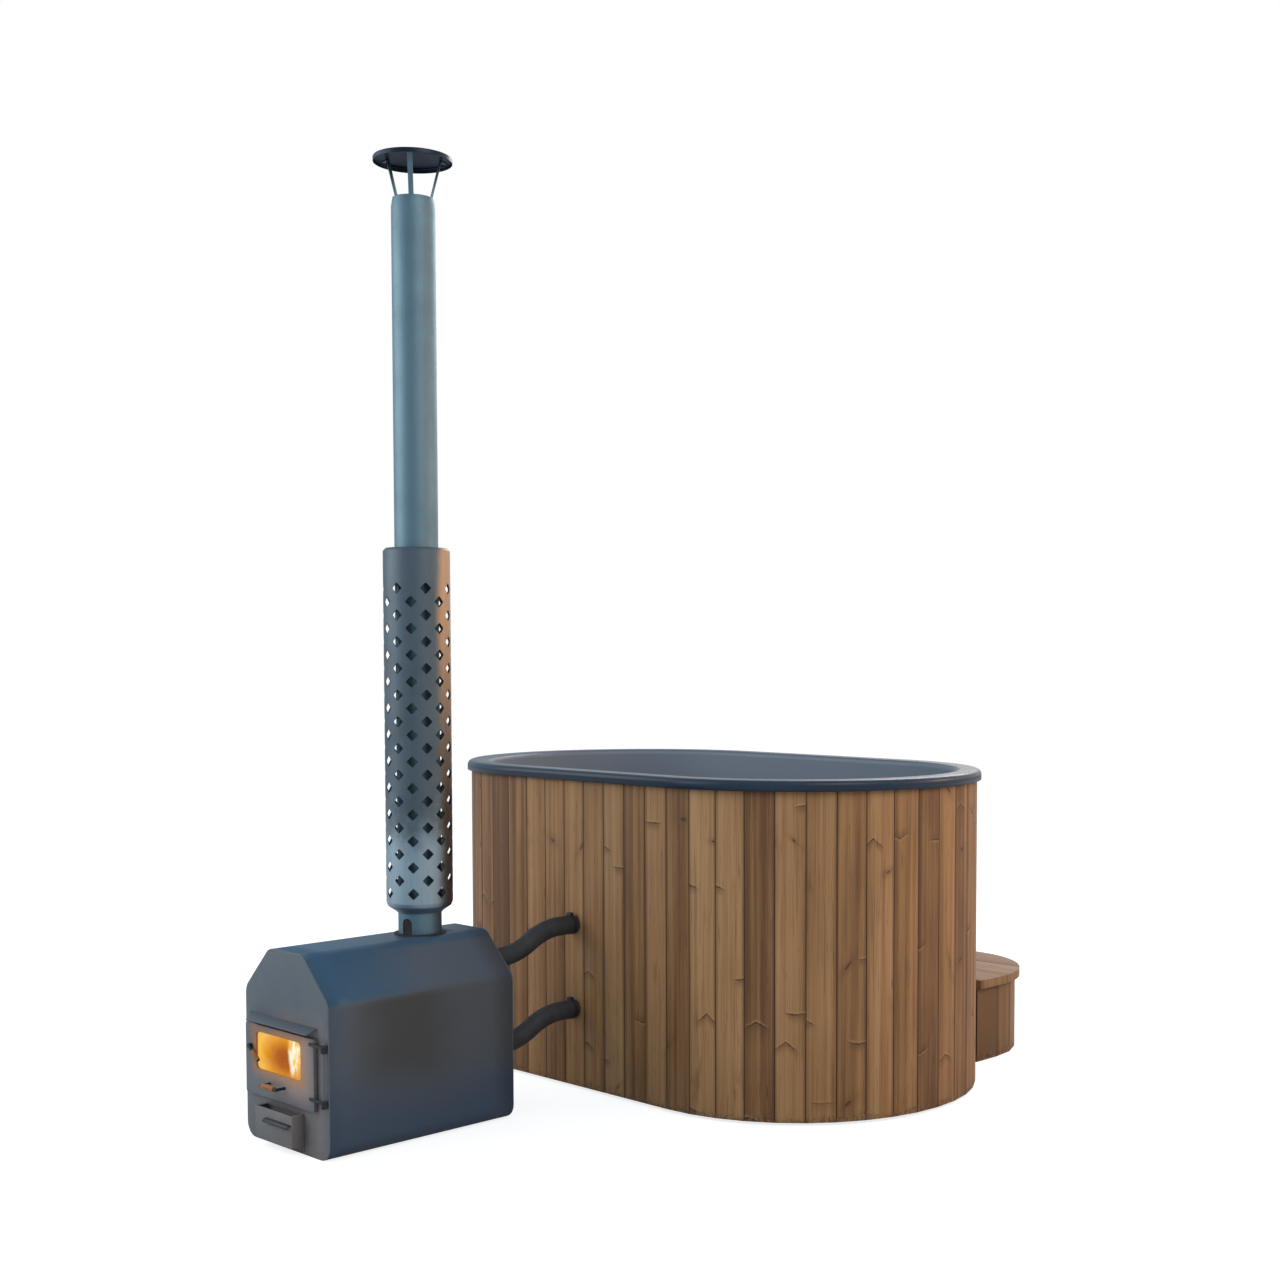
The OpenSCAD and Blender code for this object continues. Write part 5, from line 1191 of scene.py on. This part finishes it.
def makeSkirt():
    s = step
    pitch = math.pi / s["ends"]
    flat = s["skirtHalf"] * math.cos(pitch / 2)
    endWidth = 2 * s["skirtHalf"] * math.sin(pitch / 2)
    places = [(s["skirtHalf"], s["straight"] / 2, 0.0, s["straight"], 0.0, True),
              (-s["skirtHalf"], s["straight"] / 2, math.pi, s["straight"], 0.0, False)]
    for k in range(s["ends"]):
        a = (k + 0.5) * pitch
        x, y = flat * math.cos(a), s["straight"] + flat * math.sin(a)
        places.append((x, y, a, endWidth, pitch / 2, True))
    boards, grains = [], []
    for i, (x, y, turn, width, mitre, tongued) in enumerate(places):
        bm = makeBoard(width, mitre, s["low"], s["high"], s, tongued)
        where = Matrix.Translation((s["x"] + x, s["back"] + y, 0)) @ Matrix.Rotation(turn, 4, "Z")
        bmesh.ops.transform(bm, matrix=where, verts=bm.verts)
        boards.append(bm)
        tone = random.Random(s["toneSeed"] + i).uniform(*s["skirtTones"])
        grains.append((where, width, s["grainSeed"] + i, tone))
    skirt = addPiece(joined(boards), "stepSkirt", paint["stepWood"], stands=("step_skirt",),
                     smooth=40)
    writeGrain(skirt, grains)


def makeTread():
    s = step
    bm = bmesh.new()
    left = bm.verts.new((-s["half"], s["straight"], 0))
    made = bmesh.ops.spin(bm, geom=[left], cent=(0, s["straight"], 0), axis=(0, 0, 1), angle=-math.pi,
                          steps=s["roundSteps"])
    right = [v for v in made["geom_last"] if isinstance(v, bmesh.types.BMVert)][0]
    corners = [bm.verts.new((s["half"], 0, 0)), bm.verts.new((-s["half"], 0, 0))]
    for a, b in ((right, corners[0]), (corners[0], corners[1]), (corners[1], left)):
        bm.edges.new((a, b))
    fillOutline(bm)
    pitch = s["depth"] / s["boards"]
    for k in range(1, s["boards"]):
        for y in (k * pitch - s["boardGap"] / 2, k * pitch + s["boardGap"] / 2):
            bmesh.ops.bisect_plane(bm, geom=bm.verts[:] + bm.edges[:] + bm.faces[:], plane_co=(0, y, 0),
                                   plane_no=(0, 1, 0))
    strips = [f for f in bm.faces if any(abs(f.calc_center_median().y - k * pitch) < s["boardGap"] * 0.4
                                         for k in range(1, s["boards"]))]
    bmesh.ops.delete(bm, geom=strips, context="FACES")
    pull(bm, (0, 0, s["tread"]))
    hard = [e for e in bm.edges if len(e.link_faces) == 2 and e.calc_face_angle(0) > math.radians(40)]
    easeEdges(bm, hard, s["round"], 3)
    rnd = random.Random(s["treadSeed"])
    shifts = [(rnd.uniform(-0.03, 0.03) + 3 * k, rnd.uniform(0, 300)) for k in range(s["boards"])]
    pos, tint, _ = grainLayers(bm)
    for v in bm.verts:
        k = min(s["boards"] - 1, max(0, int(v.co.y / pitch)))
        dx, dl = shifts[k]
        # only the joint between two boards is dirty, so the depth counts from there
        v[pos] = (v.co.y + dx, 0.0, v.co.x + dl)
        v[tint] = s["treadTones"][k]
    bmesh.ops.translate(bm, vec=(s["x"], s["back"], s["high"]), verts=bm.verts)
    addPiece(bm, "stepTread", paint["stepWood"], stands=("step_tread",), smooth=35)


makeSkirt()
makeTread()
print("step made")


dress(paint["drainPlastic"], "drain_pipe")
softCopy("drain_valve", paint["valveMetal"], edge=0.0006)
softCopy("drain_lever", paint["leverRed"], body="drain_handle", edge=0.0008)
dress(paint["frameWood"], "upper_ring", "middle_ring", "lower_ring", "frame_posts", "base_plate",
      "base_bearers", "floor_joists", "step_ribs", "step_posts")
print("drain and frame made")


stage = {"floor": 30.0, "paper": 0.78, "shadowShare": 0.42, "bounce": 0.62,
         "front": (0.42, 0.57, 0.66, 1), "left": (0.46, 0.62, 0.72, 1), "right": (0.88, 0.77, 0.70, 1),
         "behind": (1.0, 0.95, 0.88, 1), "above": (0.48, 0.60, 0.74, 1)}


def emptyTree(owner):
    owner.use_nodes = True
    owner.node_tree.nodes.clear()
    return owner.node_tree


def seenOrLit(tree, lit, seen, output):
    # the camera gets one shader and every other ray the other
    out = tree.nodes.new(output)
    mix = tree.nodes.new("ShaderNodeMixShader")
    plug(tree, addNode(tree, "LightPath"), mix.inputs[0])
    tree.links.new(lit, mix.inputs[1])
    tree.links.new(seen, mix.inputs[2])
    tree.links.new(mix.outputs[0], out.inputs[0])


def makeFloor():
    mat = bpy.data.materials.new("paleFloor")
    tree = emptyTree(mat)
    plain = addNode(tree, "BsdfDiffuse", {"Color": grey(stage["bounce"])})
    paper = addNode(tree, "BsdfDiffuse", {"Color": grey(stage["shadowShare"])})
    white = addNode(tree, "Emission", {"Color": grey(1.0), "Strength": stage["paper"]})
    seenOrLit(tree, plain, addNode(tree, "AddShader", {0: paper, 1: white}), "ShaderNodeOutputMaterial")
    bm = bmesh.new()
    bmesh.ops.create_grid(bm, x_segments=2, y_segments=2, size=stage["floor"])
    mesh = bpy.data.meshes.new("floor")
    bm.to_mesh(mesh)
    bm.free()
    floor = bpy.data.objects.new("floor", mesh)
    mesh.materials.append(mat)
    bpy.context.collection.objects.link(floor)


def makeSky():
    # cool in front and to the left, warm to the right and behind, as if late sun came from there
    world = bpy.data.worlds.new("studio")
    bpy.context.scene.world = world
    tree = emptyTree(world)
    way = addNode(tree, "TexCoord")
    rightWay, backWay, upWay = (*pictureRight, 0), (-pictureRight[1], pictureRight[0], 0), (0, 0, 1)
    right, behind, up = [addNode(tree, "VectorMath", {0: way, 1: axis}, out=1, operation="DOT_PRODUCT")
                         for axis in (rightWay, backWay, upWay)]
    sky = blendColour(tree, remap(tree, right, 0.0, -0.8), stage["front"], stage["left"])
    sky = blendColour(tree, remap(tree, right, 0.0, 0.8), sky, stage["right"])
    lowSun = calc(tree, "MULTIPLY", remap(tree, behind, 0.1, 0.9), remap(tree, right, -0.35, 0.15))
    sky = blendColour(tree, lowSun, sky, stage["behind"])
    sky = blendColour(tree, remap(tree, up, 0.30, 0.90), sky, stage["above"])
    soft = addNode(tree, "Background", {"Color": sky, "Strength": 1.0})
    white = addNode(tree, "Background", {"Color": grey(1.0), "Strength": 1.0})
    seenOrLit(tree, soft, white, "ShaderNodeOutputWorld")


def addLamp(name, place, target, size, power, colour):
    lamp = bpy.data.lights.new(name, "AREA")
    lamp.shape = "RECTANGLE"
    lamp.size, lamp.size_y = size
    lamp.energy = power
    lamp.color = colour
    obj = bpy.data.objects.new(name, lamp)
    bpy.context.collection.objects.link(obj)
    obj.location = place
    obj.rotation_euler = (Vector(target) - Vector(place)).to_track_quat("-Z", "Y").to_euler()


# for each lamp its place, the point it looks at, its two sides, its watts and its colour
lamps = {
    "key": ((4.2, -1.2, 4.4), (0.1, -0.3, 0.5), (2.8, 2.8), 70, (1.0, 0.95, 0.88)),
    "fill": ((-3.2, -4.6, 3.2), (-0.1, -0.8, 0.6), (5.0, 4.0), 148, (1.0, 0.95, 0.89)),
    "back": ((-1.5, 4.5, 4.0), (0.0, 0.2, 0.7), (2.4, 2.4), 100, (0.95, 0.97, 1.0)),
    "sunset": ((3.4, 3.4, 2.4), (-0.1, -1.0, 1.3), (1.4, 1.4), 56, (1.0, 0.66, 0.36)),
}
makeFloor()
makeSky()
for lampName, settings in lamps.items():
    addLamp(lampName, *settings)
bpy.context.scene.view_settings.view_transform = "Standard"
print("stage made")
